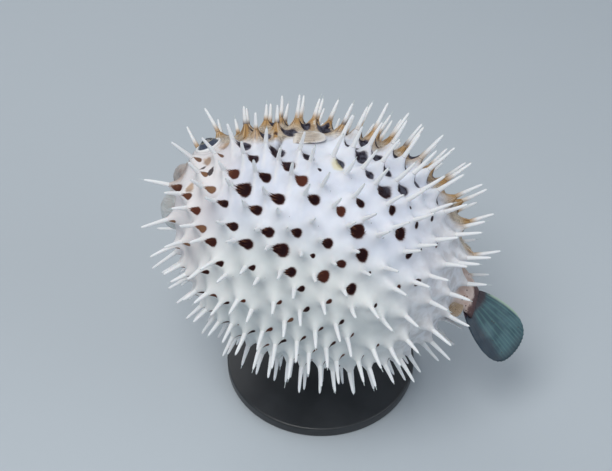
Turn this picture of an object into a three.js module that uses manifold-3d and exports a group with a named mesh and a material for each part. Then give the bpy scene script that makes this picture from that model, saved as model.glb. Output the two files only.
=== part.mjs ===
// Porcupine pufferfish, blown up, lying banked on its right side on a plain stand.
// Millimetres, +Z up. The fish is built about the middle of its ball with x to the
// nose, y to its left and z to its back, then turned into its pose on the stand.
import * as THREE from 'three';
import { ConvexHull } from 'three/addons/math/ConvexHull.js';
import Module from 'manifold-3d';

const wasm = await Module();
wasm.setup();
const DEG = Math.PI / 180;

// ---- pose on the stand ----
const BALL_HEIGHT = 152;      // middle of the ball above the floor
const HEADING = 165.9;        // nose direction, degrees from +X toward +Y
const NOSE_UP = 9.8;
const BANK = 77.5;            // roll onto the right side

// ---- blown-up body ----
const FRONT_LENGTH = 109;
const REAR_LENGTH = 114;
const HALF_WIDTH = 88;
const BACK_HEIGHT = 82;
const BELLY_DEPTH = 95;
const BALL_POWER = 2.3;
const HEAD_START = 50;        // the blunt head box inside the front of the ball
const HEAD_LENGTH = 66;
const HEAD_HALF_WIDTH = 56;
const HEAD_BACK = 42;
const HEAD_CHIN = 42;
const HEAD_TURN = 0.11;       // the face looks a little to the right
const HEAD_TURN_START = 35;
const HEAD_TURN_FULL = 95;
const STALK_END = -132;       // tail stalk
const STALK_HALF_WIDTH = 8;
const STALK_HALF_HEIGHT = 13;
const STALK_GROWTH = 0.42;    // widening of the stalk toward the ball
const STALK_BEND_START = -100;
const STALK_BEND_SIDE = 13;    // sideways shift of the stalk's end
const STALK_BEND_DOWN = 8;

// ---- eyes ----
const EYE = { x: 91.5, y: 50, z: 19 };
const EYE_RADIUS = 10.5;
const EYE_SINK = 7.8;         // centre of the eyeball below the skin
const EYE_MOUND = 4.5;
const EYE_MOUND_REACH = 15;
const GAP = 0.3;              // clearance between neighbouring parts

// ---- mouth ----
const MOUTH_Y = -1;
const MOUTH_Z = 1;
const LIP_X = 120.5;
const LIP_HALF_WIDTH = 21;
const LIP_RISE = 11.5;
const LIP_CORNER = 4.4;
const LIP_THICK = 9.5;
const LIP_THIN = 4;
const BEAK = { length: 9, halfWidth: 11.5, height: 6.6, split: 0.35 };

// ---- spines ----
const SPINE_SPACING = 25;     // round the body within one row
const SPINE_ROW_STEP = 11.6;    // along the skin from row to row
const SPINE_LEAST_SPACING = 11.8;
const PLAIN_SPACING = 8;      // least spacing of the bare skin's corners
const BARE_CLEAR = 5.5;       // least distance of a spine from the bare face's corners
const SPINE_STRAY = 2.4;      // how far a spine may stand off its even place
const SPINE_LENGTH = 27;
const SPINE_BACK_EXTRA = 9;   // longer on the back and upper flank
const SPINE_FACE_LESS = 5;    // shorter on the chin
const SPINE_BROW_EXTRA = 12;  // long round the eyes
const SPINE_BROW_REACH = 27;
const SPINE_BROW_LEAN = 0.5;  // and leaning toward the nose there
const SPINE_MOUTH_EXTRA = 9;  // long again beside the mouth
const SPINE_TENT_RADIUS = 5.2;
const SPINE_TENT_HEIGHT = 9;
const SPINE_SHAFT_RADIUS = 1.9;
const SPINE_SWEEP = 0.16;     // lean toward the tail
const SPINE_SIDES = 3;
const FIRST_ROW_RADIUS = 31;
const LAST_ROW_X = -114.5;

// ---- fins ----
const PECTORAL = { x: 38, angle: 25, base: 16, length: 25, spread: 22, rays: 7, thick: 1.5 };
const DORSAL = { x: -107, base: 12, length: 16, spread: 20, rays: 6, thick: 1.4 };
const ANAL = { x: -112, base: 12, length: 15, spread: 22, rays: 6, thick: 1.4 };
const CAUDAL = { base: 22, length: 58, spread: 50, rays: 8, thick: 1.6 };
const CAUDAL_AXIS = new THREE.Vector3(-0.80, -0.45, -0.30).normalize();
const CAUDAL_TWIST = 16;
const FIN_SINK = 4;

// ---- stand ----
const BASE_RADIUS = 82;
const BASE_HEIGHT = 10;
const BASE_BEVEL = 2;
const ROD_RADIUS = 4.5;
const ROD_SOCKET = 6;
const ROD_SINK = 12;

// ---- where the head and the tail stalk part from the trunk ----
const HEAD_CUT_X = 50;
const STALK_CUT_X = -119;

function hash(i, k) {
  const s = Math.sin(i * 127.1 + k * 311.7) * 43758.5453;
  return s - Math.floor(s);
}

// ---------- shape of the plain body ----------
function blend(a, b) {
  const k = 6;
  return Math.pow(Math.pow(Math.max(a, 0), k) + Math.pow(Math.max(b, 0), k), 1 / k);
}

function ballShare(x) {
  const t = Math.abs(x) / (x > 0 ? FRONT_LENGTH : REAR_LENGTH);
  return t >= 1 ? 0 : Math.sqrt(1 - Math.pow(t, BALL_POWER));
}

function headShare(x) {
  const t = (x - HEAD_START) / HEAD_LENGTH;
  if (t >= 1) return 0;
  return t <= 0 ? Math.max(0, 1 + x / HEAD_START * 0.2 - 0.2) : Math.pow(1 - Math.pow(t, 7), 0.3);
}

function stalkRadius(x, endRadius) {
  if (x > 0) return 0;
  return endRadius + STALK_GROWTH * Math.max(0, x - STALK_END) * 0.5;
}

function sectionRadius(x, angle) {
  const c = Math.cos(angle);
  const s = Math.sin(angle);
  const ball = ballShare(x);
  const head = x > 0 ? headShare(x) : 0;
  const width = blend(blend(HALF_WIDTH * ball, HEAD_HALF_WIDTH * head), stalkRadius(x, STALK_HALF_WIDTH));
  const back = blend(blend(BACK_HEIGHT * ball, HEAD_BACK * head), stalkRadius(x, STALK_HALF_HEIGHT));
  const belly = blend(blend(BELLY_DEPTH * ball, HEAD_CHIN * head), stalkRadius(x, STALK_HALF_HEIGHT));
  const height = s > 0 ? back : belly;
  return 1 / Math.sqrt((c / width) ** 2 + (s / height) ** 2);
}

function faceTurn(x) {
  const t = Math.min(1, Math.max(0, (x - HEAD_TURN_START) / (HEAD_TURN_FULL - HEAD_TURN_START)));
  return HEAD_TURN * t * t * (3 - 2 * t);
}

function inside(p) {
  const x = p.x - faceTurn(p.x) * p.y;
  if (x <= STALK_END || x >= HEAD_START + HEAD_LENGTH) return false;
  return Math.hypot(p.y, p.z) < sectionRadius(x, Math.atan2(p.z, p.y));
}

const EYE_LEFT_WAY = new THREE.Vector3(EYE.x + HEAD_TURN * EYE.y, EYE.y, EYE.z).normalize();
const EYE_RIGHT_WAY = new THREE.Vector3(EYE.x - HEAD_TURN * EYE.y, -EYE.y, EYE.z).normalize();

function skinRadius(way) {
  let low = 4;
  let high = 190;
  for (let i = 0; i < 34; i += 1) {
    const mid = (low + high) / 2;
    if (inside(way.clone().multiplyScalar(mid))) low = mid;
    else high = mid;
  }
  let mound = 0;
  for (const eye of [EYE_LEFT_WAY, EYE_RIGHT_WAY]) {
    const away = way.angleTo(eye) * low / EYE_MOUND_REACH;
    mound += EYE_MOUND * Math.exp(-away * away);
  }
  return low + mound;
}

function onSkin(way) {
  const w = way.clone().normalize();
  return w.multiplyScalar(skinRadius(w));
}

function skinAt(x, angle) {
  const r = sectionRadius(x, angle);
  const y = r * Math.cos(angle);
  return onSkin(new THREE.Vector3(x + faceTurn(x) * y, y, r * Math.sin(angle)));
}

function skinNormal(way) {
  const w = way.clone().normalize();
  const side = new THREE.Vector3(0, 0, 1).cross(w);
  if (side.length() < 0.05) side.set(0, 1, 0);
  side.normalize();
  const up = w.clone().cross(side).normalize();
  const step = 0.02;
  const a = onSkin(w.clone().addScaledVector(side, step));
  const b = onSkin(w.clone().addScaledVector(side, -step));
  const c = onSkin(w.clone().addScaledVector(up, step));
  const d = onSkin(w.clone().addScaledVector(up, -step));
  return a.sub(b).cross(c.sub(d)).normalize();
}

// the tail stalk curls to the right and a little down
function bendStalk(p) {
  const t = Math.min(1.2, Math.max(0, STALK_BEND_START - p.x) / (STALK_BEND_START - STALK_END));
  p.y -= STALK_BEND_SIDE * t * t;
  p.z -= STALK_BEND_DOWN * t * t;
  return p;
}

// ---------- places kept clear of spines ----------
const rodWay = new THREE.Vector3();
function finSpot(fin, sign) {
  return skinAt(fin.x, sign > 0 ? fin.angle * DEG : Math.PI - fin.angle * DEG);
}
const PECTORAL_LEFT_SPOT = finSpot(PECTORAL, 1);
const PECTORAL_RIGHT_SPOT = finSpot(PECTORAL, -1);
const DORSAL_SPOT = skinAt(DORSAL.x, Math.PI / 2);
const ANAL_SPOT = skinAt(ANAL.x, -Math.PI / 2);

// ---------- pose ----------
const nose = new THREE.Vector3(
  Math.cos(HEADING * DEG) * Math.cos(NOSE_UP * DEG),
  Math.sin(HEADING * DEG) * Math.cos(NOSE_UP * DEG),
  Math.sin(NOSE_UP * DEG));
const level = new THREE.Vector3(0, 0, 1).cross(nose).normalize();
const upright = nose.clone().cross(level);
const left = level.clone().multiplyScalar(Math.cos(BANK * DEG));
left.addScaledVector(upright, Math.sin(BANK * DEG));
const back = nose.clone().cross(left);
const POSE = new THREE.Matrix4().makeBasis(nose, left, back);
POSE.setPosition(0, 0, BALL_HEIGHT);
rodWay.set(-nose.z, -left.z, -back.z);
const ROD_SPOT = onSkin(rodWay);

// ---------- fins' places ----------
const leftOut = skinNormal(PECTORAL_LEFT_SPOT);
const leftUp = new THREE.Vector3(1, 0, 0).cross(leftOut).normalize();
const leftAim = leftUp.clone().multiplyScalar(0.16).addScaledVector(leftOut, 0.30);
leftAim.x -= 0.93;
leftAim.normalize();
const rightAim = new THREE.Vector3(leftAim.x, -leftAim.y, leftAim.z);
const rightUp = new THREE.Vector3(leftUp.x, -leftUp.y, leftUp.z);
const FIN_PLACES = {
  pectoral_fin_left: { fin: { ...PECTORAL, cup: 1.5 }, spot: PECTORAL_LEFT_SPOT, aim: leftAim, wide: leftUp },
  pectoral_fin_right: { fin: { ...PECTORAL, cup: -1.5 }, spot: PECTORAL_RIGHT_SPOT, aim: rightAim, wide: rightUp },
  dorsal_fin: {
    fin: DORSAL, spot: bendStalk(DORSAL_SPOT.clone()),
    aim: new THREE.Vector3(-0.90, -0.22, 0.06).normalize(), wide: new THREE.Vector3(1, 0.1, 1.6),
  },
  anal_fin: {
    fin: ANAL, spot: bendStalk(ANAL_SPOT.clone()),
    aim: new THREE.Vector3(-0.95, -0.22, -0.18).normalize(), wide: new THREE.Vector3(-1, 0.1, 1.6),
  },
};

const TAIL_END = bendStalk(new THREE.Vector3(STALK_END - GAP, 0, 0));
const CAUDAL_PLACE = {
  fin: { ...CAUDAL, cup: 2 }, spot: TAIL_END, aim: CAUDAL_AXIS,
  wide: new THREE.Vector3(0, 0, 1).applyAxisAngle(CAUDAL_AXIS, CAUDAL_TWIST * DEG),
};

function finBasis(place) {
  const x = place.aim;
  const z = place.wide.clone().addScaledVector(x, -place.wide.dot(x)).normalize();
  return [x, z];
}

// the outer rays leave the root wide and straighten toward the tip, as in a paddle
function rayCurve(t) {
  return 1.3 - 0.6 * t;
}

// points spread over every fin, for keeping the spines clear of them
const FIN_POINTS = [];
for (const place of [...Object.values(FIN_PLACES), CAUDAL_PLACE]) {
  const [x, z] = finBasis(place);
  for (let u = -1; u <= 1; u += 0.25) {
    for (let t = 0.1; t <= 1; t += 0.15) {
      const turn = u * place.fin.spread / 2 * DEG * rayCurve(t);
      const p = place.spot.clone().addScaledVector(x, place.fin.length * t * Math.cos(turn));
      p.addScaledVector(z, u * place.fin.base / 2 + place.fin.length * t * Math.sin(turn));
      FIN_POINTS.push(p);
    }
  }
}

const STALK_CLEAR = 18;
const STALK_POINTS = [];
for (let x = STALK_CUT_X; x > STALK_END - 3; x -= 2) STALK_POINTS.push(bendStalk(new THREE.Vector3(x, 0, 0)));

function missesFins(root, aim, length) {
  const missesStalk = STALK_POINTS.every((p) => {
    const along = Math.min(length, Math.max(0, p.clone().sub(root).dot(aim)));
    return p.distanceTo(root.clone().addScaledVector(aim, along)) > STALK_CLEAR + 5;
  });
  return missesStalk && FIN_POINTS.every((p) => {
    const along = Math.min(length, Math.max(0, p.clone().sub(root).dot(aim)));
    const room = 3 + SPINE_TENT_RADIUS * Math.max(0, 1 - along / SPINE_TENT_HEIGHT) * 0.8;
    return p.distanceTo(root.clone().addScaledVector(aim, along)) > room + 1;
  });
}

// ---------- spine lattice ----------
const CLEAR_SPOTS = [
  [onSkin(EYE_LEFT_WAY), 19],
  [onSkin(EYE_RIGHT_WAY), 19],
  [PECTORAL_LEFT_SPOT, 17],
  [PECTORAL_RIGHT_SPOT, 17],
  [DORSAL_SPOT, 15],
  [ANAL_SPOT, 15],
  [ROD_SPOT, 12],
  [onSkin(new THREE.Vector3(LIP_X, MOUTH_Y, MOUTH_Z)), 33],
];

function isClear(p) {
  return CLEAR_SPOTS.every(([spot, reach]) => spot.distanceTo(p) > reach);
}

function spineRows() {
  const rows = [];
  let x = HEAD_START + HEAD_LENGTH - 0.02;
  let radius = sectionRadius(x, 0);
  while (radius < FIRST_ROW_RADIUS) {
    x -= 0.05;
    radius = sectionRadius(x, 0);
  }
  rows.push(x);
  let run = 0;
  while (x > LAST_ROW_X) {
    const next = x - 0.25;
    const nextRadius = (sectionRadius(next, 0) + sectionRadius(next, -1.2) + sectionRadius(next, 1.2)) / 3;
    const oldRadius = (sectionRadius(x, 0) + sectionRadius(x, -1.2) + sectionRadius(x, 1.2)) / 3;
    run += Math.hypot(0.25, nextRadius - oldRadius);
    x = next;
    if (run >= SPINE_ROW_STEP) {
      rows.push(x);
      run = 0;
    }
  }
  return rows;
}

function latticePlaces() {
  const places = [];
  spineRows().forEach((x, row) => {
    const mean = (sectionRadius(x, 0) + sectionRadius(x, 1.57) * 0.5 + sectionRadius(x, -1.57) * 0.5) / 2;
    const count = Math.max(6, 2 * Math.round(Math.PI * mean / SPINE_SPACING));
    for (let i = 0; i < count; i += 1) {
      const id = row * 40 + i;
      const stray = SPINE_STRAY * Math.min(1, Math.max(0.35, (Math.abs(x - HEAD_CUT_X) - 4) / 16));
      const angle = 2 * Math.PI * (i + (row % 2) / 2) / count + 0.02
        + 2 * SPINE_STRAY * (hash(id, 21) - 0.5) / Math.max(mean, 20);
      places.push({ x: x + 2 * stray * (hash(id, 22) - 0.5), angle, id });
    }
  });
  return places;
}

function browShare(root) {
  const away = Math.min(...[EYE_LEFT_WAY, EYE_RIGHT_WAY].map((way) => onSkin(way).distanceTo(root)));
  return Math.exp(-((away / SPINE_BROW_REACH) ** 4));
}

function spineLength(root) {
  const backward = Math.max(0, Math.sin(Math.atan2(root.z, root.y) + 0.75)) * Math.exp(-(((root.x + 30) / 65) ** 2));
  const facing = Math.min(1, Math.max(0, (root.x - 25) / 50));
  const beside = Math.exp(-(((Math.hypot(root.y - MOUTH_Y, root.z - MOUTH_Z) - 34) / 12) ** 2)) * (root.x > 80 ? 1 : 0);
  return SPINE_LENGTH + SPINE_BACK_EXTRA * backward - SPINE_FACE_LESS * facing
    + Math.max(SPINE_MOUTH_EXTRA * beside, SPINE_BROW_EXTRA * browShare(root));
}

// ---------- body as one closed skin with the spines drawn out of it ----------
function makeBody(offset, withSpines) {
  const points = [];      // skin corners
  const owner = [];       // spine number of each corner, -1 for plain skin
  const spines = [];
  const spare = [];       // lattice places without a spine
  const plain = (p) => {
    points.push(p);
    owner.push(-1);
  };
  plain(onSkin(new THREE.Vector3(1, 0, 0.001)));
  for (const radius of [12, 22]) {
    for (let i = 0; i < 8; i += 1) {
      const a = (i + (radius > 20 ? 0.5 : 0)) * Math.PI / 4;
      plain(onSkin(new THREE.Vector3(HEAD_START + HEAD_LENGTH, radius * Math.cos(a), radius * Math.sin(a))));
    }
  }
  for (const eye of [EYE_LEFT_WAY, EYE_RIGHT_WAY]) {
    const side = new THREE.Vector3(0, 0, 1).cross(eye).normalize();
    const up = eye.clone().cross(side);
    for (const reach of [0, 0.085, 0.125]) {
      for (let i = 0; i < (reach ? 8 : 1); i += 1) {
        const a = (i + reach * 3) * Math.PI / 4;
        const way = eye.clone().addScaledVector(side, reach * Math.cos(a));
        plain(onSkin(way.addScaledVector(up, reach * Math.sin(a))));
      }
    }
  }
  for (const place of latticePlaces()) {
    const root = skinAt(place.x, place.angle);
    if (spines.some((s) => s.root.distanceTo(root) < SPINE_LEAST_SPACING)) continue;
    if (!isClear(root) || points.some((p, i) => owner[i] < 0 && p.distanceTo(root) < BARE_CLEAR)) {
      spare.push(root);
      continue;
    }
    const normal = skinNormal(root);
    const aim = normal.clone();
    aim.x -= SPINE_SWEEP * (0.6 + 0.8 * hash(place.id, 1));
    aim.x += SPINE_BROW_LEAN * browShare(root);
    aim.y += 0.10 * (hash(place.id, 2) - 0.5);
    aim.z += 0.10 * (hash(place.id, 3) - 0.5);
    aim.normalize();
    const side = new THREE.Vector3(1, 0, 0).cross(normal);
    if (side.length() < 0.2) side.set(0, 1, 0);
    side.normalize();
    const along = normal.clone().cross(side).normalize();
    const turn = 0.15 + 0.5 * hash(place.id, 4);
    const length = spineLength(root) * (0.92 + 0.16 * hash(place.id, 5));
    if (!missesFins(root, aim, length)) {
      spare.push(root);
      continue;
    }
    const spine = { root, aim, length, first: points.length, side, along, turn };
    for (let k = 0; k < SPINE_SIDES; k += 1) {
      const a = turn + 2 * Math.PI * k / SPINE_SIDES;
      const way = root.clone().addScaledVector(side, SPINE_TENT_RADIUS * Math.cos(a));
      way.addScaledVector(along, SPINE_TENT_RADIUS * Math.sin(a));
      points.push(onSkin(way));
      owner.push(spines.length);
    }
    spines.push(spine);
  }
  for (const p of spare) {
    const free = points.every((q, i) => q.distanceTo(p) > (owner[i] < 0 ? PLAIN_SPACING : 4))
      && spines.every((s) => s.root.distanceTo(p) > PLAIN_SPACING);
    if (free) plain(p);
  }
  for (const x of [-123, -128.5, -133, STALK_END + 0.05]) {
    const count = 8;
    for (let i = 0; i < count; i += 1) {
      const a = 2 * Math.PI * (i + (x > -126 || x < -136 ? 0 : 0.5)) / count + 0.03;
      const r = sectionRadius(x, a);
      plain(new THREE.Vector3(x, r * Math.cos(a), r * Math.sin(a)));
    }
  }
  plain(new THREE.Vector3(STALK_END, 0, 0.01));

  const ways = points.map((p) => p.clone().normalize());
  ways.forEach((w, i) => {
    w.userIndex = i;
  });
  const hull = new ConvexHull().setFromPoints(ways);
  const faces = [];
  for (const face of hull.faces) {
    const corner = [];
    let edge = face.edge;
    do {
      corner.push(edge.head().point.userIndex);
      edge = edge.next;
    } while (edge !== face.edge);
    for (let k = 1; k + 1 < corner.length; k += 1) faces.push([corner[0], corner[k], corner[k + 1]]);
  }
  const corners = points.map((p) => {
    const q = p.clone();
    if (offset) q.addScaledVector(skinNormal(p), offset);
    return bendStalk(q);
  });
  const kept = faces.filter(([a, b, c]) => {
    const same = owner[a] >= 0 && owner[a] === owner[b] && owner[b] === owner[c];
    return !(same && withSpines);
  });
  if (withSpines) {
    for (const s of spines) {
      const start = corners.length;
      const root = bendStalk(s.root.clone());
      for (let k = 0; k < SPINE_SIDES; k += 1) {
        const a = s.turn + 2 * Math.PI * k / SPINE_SIDES;
        const p = root.clone().addScaledVector(s.aim, SPINE_TENT_HEIGHT);
        p.addScaledVector(s.side, SPINE_SHAFT_RADIUS * Math.cos(a));
        p.addScaledVector(s.along, SPINE_SHAFT_RADIUS * Math.sin(a));
        corners.push(p);
      }
      corners.push(root.addScaledVector(s.aim, s.length));
      const tip = corners.length - 1;
      for (let k = 0; k < SPINE_SIDES; k += 1) {
        const n = (k + 1) % SPINE_SIDES;
        kept.push([s.first + k, s.first + n, start + n]);
        kept.push([s.first + k, start + n, start + k]);
        kept.push([start + k, start + n, tip]);
      }
    }
  }
  return solidFrom(corners, kept);
}

function solidFrom(corners, faces) {
  const verts = new Float32Array(corners.length * 3);
  corners.forEach((p, i) => verts.set([p.x, p.y, p.z], i * 3));
  const mesh = new wasm.Mesh({ numProp: 3, vertProperties: verts, triVerts: new Uint32Array(faces.flat()) });
  mesh.merge();
  return new wasm.Manifold(mesh);
}

function solidOf(geometry) {
  const place = geometry.getAttribute('position');
  const index = geometry.index ? Array.from(geometry.index.array) : [...Array(place.count).keys()];
  const mesh = new wasm.Mesh({
    numProp: 3,
    vertProperties: new Float32Array(place.array),
    triVerts: new Uint32Array(index),
  });
  mesh.merge();
  return new wasm.Manifold(mesh);
}

// ---------- fins: a fan of rays, thicker on the rays than between them ----------
function makeFan(fin, rows = 2) {
  const columns = fin.rays * 2 - 1;
  const corners = [];
  const faces = [];
  for (const sign of [1, -1]) {
    for (let i = 0; i < columns; i += 1) {
      const u = i / (columns - 1) * 2 - 1;
      const aim = u * fin.spread / 2 * DEG;
      const reach = fin.length * (1 - 0.24 * u * u * u * u - 0.10 * u * u) * (i % 2 ? 0.975 : 1);
      for (let j = 0; j <= rows; j += 1) {
        const t = j / rows;
        const bulge = i % 2 ? 0.55 : 1;
        const thick = fin.thick * bulge * (1 - 0.45 * t);
        const x = reach * t * Math.cos(aim * rayCurve(t));
        const z = u * fin.base / 2 + reach * t * Math.sin(aim * rayCurve(t));
        const y = (fin.cup || 0) * t * t * (1 - u * u);
        corners.push(new THREE.Vector3(x, y + sign * Math.max(0.3, thick / 2), z));
      }
    }
  }
  const at = (side, i, j) => (side * columns + i) * (rows + 1) + j;
  for (let i = 0; i + 1 < columns; i += 1) {
    for (let j = 0; j < rows; j += 1) {
      faces.push([at(0, i, j), at(0, i + 1, j), at(0, i + 1, j + 1)]);
      faces.push([at(0, i, j), at(0, i + 1, j + 1), at(0, i, j + 1)]);
      faces.push([at(1, i, j), at(1, i + 1, j + 1), at(1, i + 1, j)]);
      faces.push([at(1, i, j), at(1, i, j + 1), at(1, i + 1, j + 1)]);
    }
    faces.push([at(0, i, 0), at(1, i, 0), at(1, i + 1, 0)]);
    faces.push([at(0, i, 0), at(1, i + 1, 0), at(0, i + 1, 0)]);
    faces.push([at(0, i, rows), at(0, i + 1, rows), at(1, i + 1, rows)]);
    faces.push([at(0, i, rows), at(1, i + 1, rows), at(1, i, rows)]);
  }
  for (let j = 0; j < rows; j += 1) {
    faces.push([at(0, 0, j), at(0, 0, j + 1), at(1, 0, j + 1)]);
    faces.push([at(0, 0, j), at(1, 0, j + 1), at(1, 0, j)]);
    const e = columns - 1;
    faces.push([at(0, e, j), at(1, e, j + 1), at(0, e, j + 1)]);
    faces.push([at(0, e, j), at(1, e, j), at(1, e, j + 1)]);
  }
  const flipped = faces.map(([a, b, c]) => [a, c, b]);
  const solid = solidFrom(corners, flipped);
  return solid.volume() > 0 ? solid : solidFrom(corners, faces);
}

function placeSolid(solid, origin, axis, wide) {
  const x = axis.clone().normalize();
  const z = wide.clone().addScaledVector(x, -wide.dot(x)).normalize();
  const y = z.clone().cross(x);
  const m = new THREE.Matrix4().makeBasis(x, y, z).setPosition(origin);
  return solid.transform(m.elements);
}

// ---------- parts ----------
const skinShell = makeBody(GAP + 0.1, false);
let body = makeBody(0, true);

const eyeBalls = {};
for (const [name, way] of [['eye_left', EYE_LEFT_WAY], ['eye_right', EYE_RIGHT_WAY]]) {
  const spot = onSkin(way);
  const out = skinNormal(way);
  const middle = spot.addScaledVector(out, -EYE_SINK + 1.5);
  const ball = solidOf(new THREE.SphereGeometry(EYE_RADIUS, 14, 8));
  const socket = solidOf(new THREE.SphereGeometry(EYE_RADIUS + GAP + 0.1, 14, 8));
  eyeBalls[name] = placeSolid(ball, middle, out, new THREE.Vector3(1, 0, 0));
  body = body.subtract(placeSolid(socket, middle, out, new THREE.Vector3(1, 0, 0)));
}

const rodHole = solidOf(new THREE.CylinderGeometry(ROD_RADIUS + GAP, ROD_RADIUS + GAP, 90, 20));
const rodHoleMiddle = ROD_SPOT.clone().addScaledVector(rodWay.clone().normalize(), 45 - ROD_SINK);
body = body.subtract(placeSolid(
  rodHole.rotate([0, 0, 90]), rodHoleMiddle, rodWay, new THREE.Vector3(1, 0, 0)));

// the head parts midway between two spine rows, along the way the spines point there
function headCut() {
  const rows = spineRows();
  const before = rows.filter((x) => x >= HEAD_CUT_X).pop();
  const after = rows.find((x) => x < HEAD_CUT_X);
  const x = (before + after) / 2;
  let lean = 0;
  const looks = 12;
  for (let i = 0; i < looks; i += 1) {
    const n = skinNormal(skinAt(x, 2 * Math.PI * i / looks));
    lean += (n.x - SPINE_SWEEP) / Math.hypot(n.y, n.z) / looks;
  }
  return { x, lean };
}
const HEAD_CUT = headCut();

// a cone between two spine rows parts the body; in front of it lies the piece nearer the nose
function coneTool(cut, shift, front) {
  const reach = 180;
  const far = front ? 190 : -620;
  const middleRadius = sectionRadius(cut.x, 0);
  const atRadius = (r) => cut.x + shift + (r - middleRadius) * cut.lean;
  const line = [
    new THREE.Vector2(0, far),
    new THREE.Vector2(reach, far),
    new THREE.Vector2(reach, atRadius(reach)),
    new THREE.Vector2(0, atRadius(0)),
  ];
  const lathe = new THREE.LatheGeometry(front ? line.reverse() : line, 48);
  let solid = solidOf(lathe);
  if (solid.volume() < 0) solid = solidOf(new THREE.LatheGeometry(line.reverse(), 48));
  // the lathe turns about +y; lay that axis along the fish
  return solid.rotate([0, 0, -90]);
}

// a curled barrel round the tail stalk takes it off the trunk
function stalkBarrel(less) {
  const length = STALK_CUT_X - STALK_END + 3;
  const barrel = new THREE.CylinderGeometry(STALK_CLEAR - less, STALK_CLEAR - less, length, 24, 4);
  const solid = solidOf(barrel).rotate([0, 0, 90]).translate([STALK_CUT_X - length / 2 - less, 0, 0]);
  return solid.warp((v) => {
    const p = bendStalk(new THREE.Vector3(v[0], v[1], v[2]));
    v[1] = p.y;
    v[2] = p.z;
  });
}

const head = body.intersect(coneTool(HEAD_CUT, GAP / 2 + 0.05, true));
const rest = body.intersect(coneTool(HEAD_CUT, -GAP / 2 - 0.05, false));
const trunk = rest.subtract(stalkBarrel(0));
const stalk = rest.intersect(stalkBarrel(GAP));

// lips: two fat pads round the mouth, thin at the corners
function makeLip(sign) {
  const stations = 10;
  const sides = 8;
  const corners = [];
  const faces = [];
  for (let i = 0; i <= stations; i += 1) {
    const u = (i / stations - 0.5) * Math.PI * 0.98;
    const r = LIP_THIN + (LIP_THICK - LIP_THIN) * Math.pow(Math.cos(u), 0.6);
    const lobe = 1 - 0.10 * Math.exp(-((u / 0.35) ** 2));
    const middle = new THREE.Vector3(
      LIP_X - 6 * Math.sin(u) ** 2,
      LIP_HALF_WIDTH * Math.sin(u),
      MOUTH_Z + sign * (LIP_CORNER + LIP_RISE * Math.cos(u)));
    const out = new THREE.Vector3(0, Math.sin(u), sign * Math.cos(u));
    for (let k = 0; k < sides; k += 1) {
      const a = 2 * Math.PI * k / sides;
      const p = middle.clone().addScaledVector(out, r * lobe * Math.cos(a));
      p.x += r * lobe * 1.1 * Math.sin(a);
      corners.push(p);
    }
  }
  for (let i = 0; i < stations; i += 1) {
    for (let k = 0; k < sides; k += 1) {
      const n = (k + 1) % sides;
      faces.push([i * sides + k, i * sides + n, (i + 1) * sides + n]);
      faces.push([i * sides + k, (i + 1) * sides + n, (i + 1) * sides + k]);
    }
  }
  for (let k = 1; k + 1 < sides; k += 1) {
    faces.push([0, k + 1, k]);
    faces.push([stations * sides, stations * sides + k, stations * sides + k + 1]);
  }
  const solid = solidFrom(corners, faces);
  return solid.volume() > 0 ? solid : solidFrom(corners, faces.map(([a, b, c]) => [a, c, b]));
}

// the whole mouth looks the way the face is turned
function faceMouth(solid) {
  return solid.translate([-LIP_X, 0, 0]).rotate([0, 0, -Math.atan(HEAD_TURN) / DEG]).translate([LIP_X, MOUTH_Y, 0]);
}

const upperLip = faceMouth(makeLip(1)).subtract(skinShell).trimByPlane([0, 0, 1], MOUTH_Z + GAP / 2);
const lowerLip = faceMouth(makeLip(-1)).subtract(skinShell).trimByPlane([0, 0, -1], -(MOUTH_Z - GAP / 2));

function makeBeak(sign) {
  const ball = solidOf(new THREE.SphereGeometry(1, 16, 10).scale(BEAK.length, BEAK.halfWidth, BEAK.height));
  const placed = ball.translate([LIP_X - 3.5, 0, MOUTH_Z]);
  const half = placed.trimByPlane([0, 0, sign], sign * (MOUTH_Z + sign * BEAK.split / 2));
  return faceMouth(half).subtract(skinShell);
}

const lipGuard = faceMouth(makeLip(1).add(makeLip(-1)));
const upperBeak = makeBeak(1).subtract(lipGuard.translate([0, 0, -GAP]));
const lowerBeak = makeBeak(-1).subtract(lipGuard.translate([0, 0, GAP]));

const fins = {};
for (const [name, place] of Object.entries(FIN_PLACES)) {
  const origin = place.spot.clone().addScaledVector(place.aim, -FIN_SINK);
  fins[name] = placeSolid(makeFan(place.fin), origin, place.aim, place.wide).subtract(skinShell);
}

const caudalRoot = TAIL_END.clone().addScaledVector(CAUDAL_AXIS, -5);
const caudalFin = placeSolid(makeFan(CAUDAL_PLACE.fin, 3), caudalRoot, CAUDAL_AXIS, CAUDAL_PLACE.wide)
  .trimByPlane([-1, 0, 0], -(STALK_END - GAP)).subtract(skinShell).subtract(stalk.translate([-GAP, 0, 0]));

// ---------- stand, already upright ----------
const rodTop = ROD_SPOT.clone().addScaledVector(rodWay.clone().normalize(), -ROD_SINK + GAP);
const rodTopZ = rodTop.clone().applyMatrix4(POSE).z;
const rodSpot = ROD_SPOT.clone().applyMatrix4(POSE);
const baseLine = [
  new THREE.Vector2(0, 0),
  new THREE.Vector2(BASE_RADIUS, 0),
  new THREE.Vector2(BASE_RADIUS, BASE_HEIGHT - BASE_BEVEL),
  new THREE.Vector2(BASE_RADIUS - BASE_BEVEL, BASE_HEIGHT),
  new THREE.Vector2(ROD_RADIUS + GAP, BASE_HEIGHT),
  new THREE.Vector2(ROD_RADIUS + GAP, BASE_HEIGHT - ROD_SOCKET),
  new THREE.Vector2(0, BASE_HEIGHT - ROD_SOCKET),
];
let standBase = solidOf(new THREE.LatheGeometry(baseLine, 32));
if (standBase.volume() < 0) standBase = solidOf(new THREE.LatheGeometry(baseLine.reverse(), 32));
standBase = standBase.rotate([90, 0, 0]);
const rodLength = rodTopZ - (BASE_HEIGHT - ROD_SOCKET + GAP);
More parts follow.
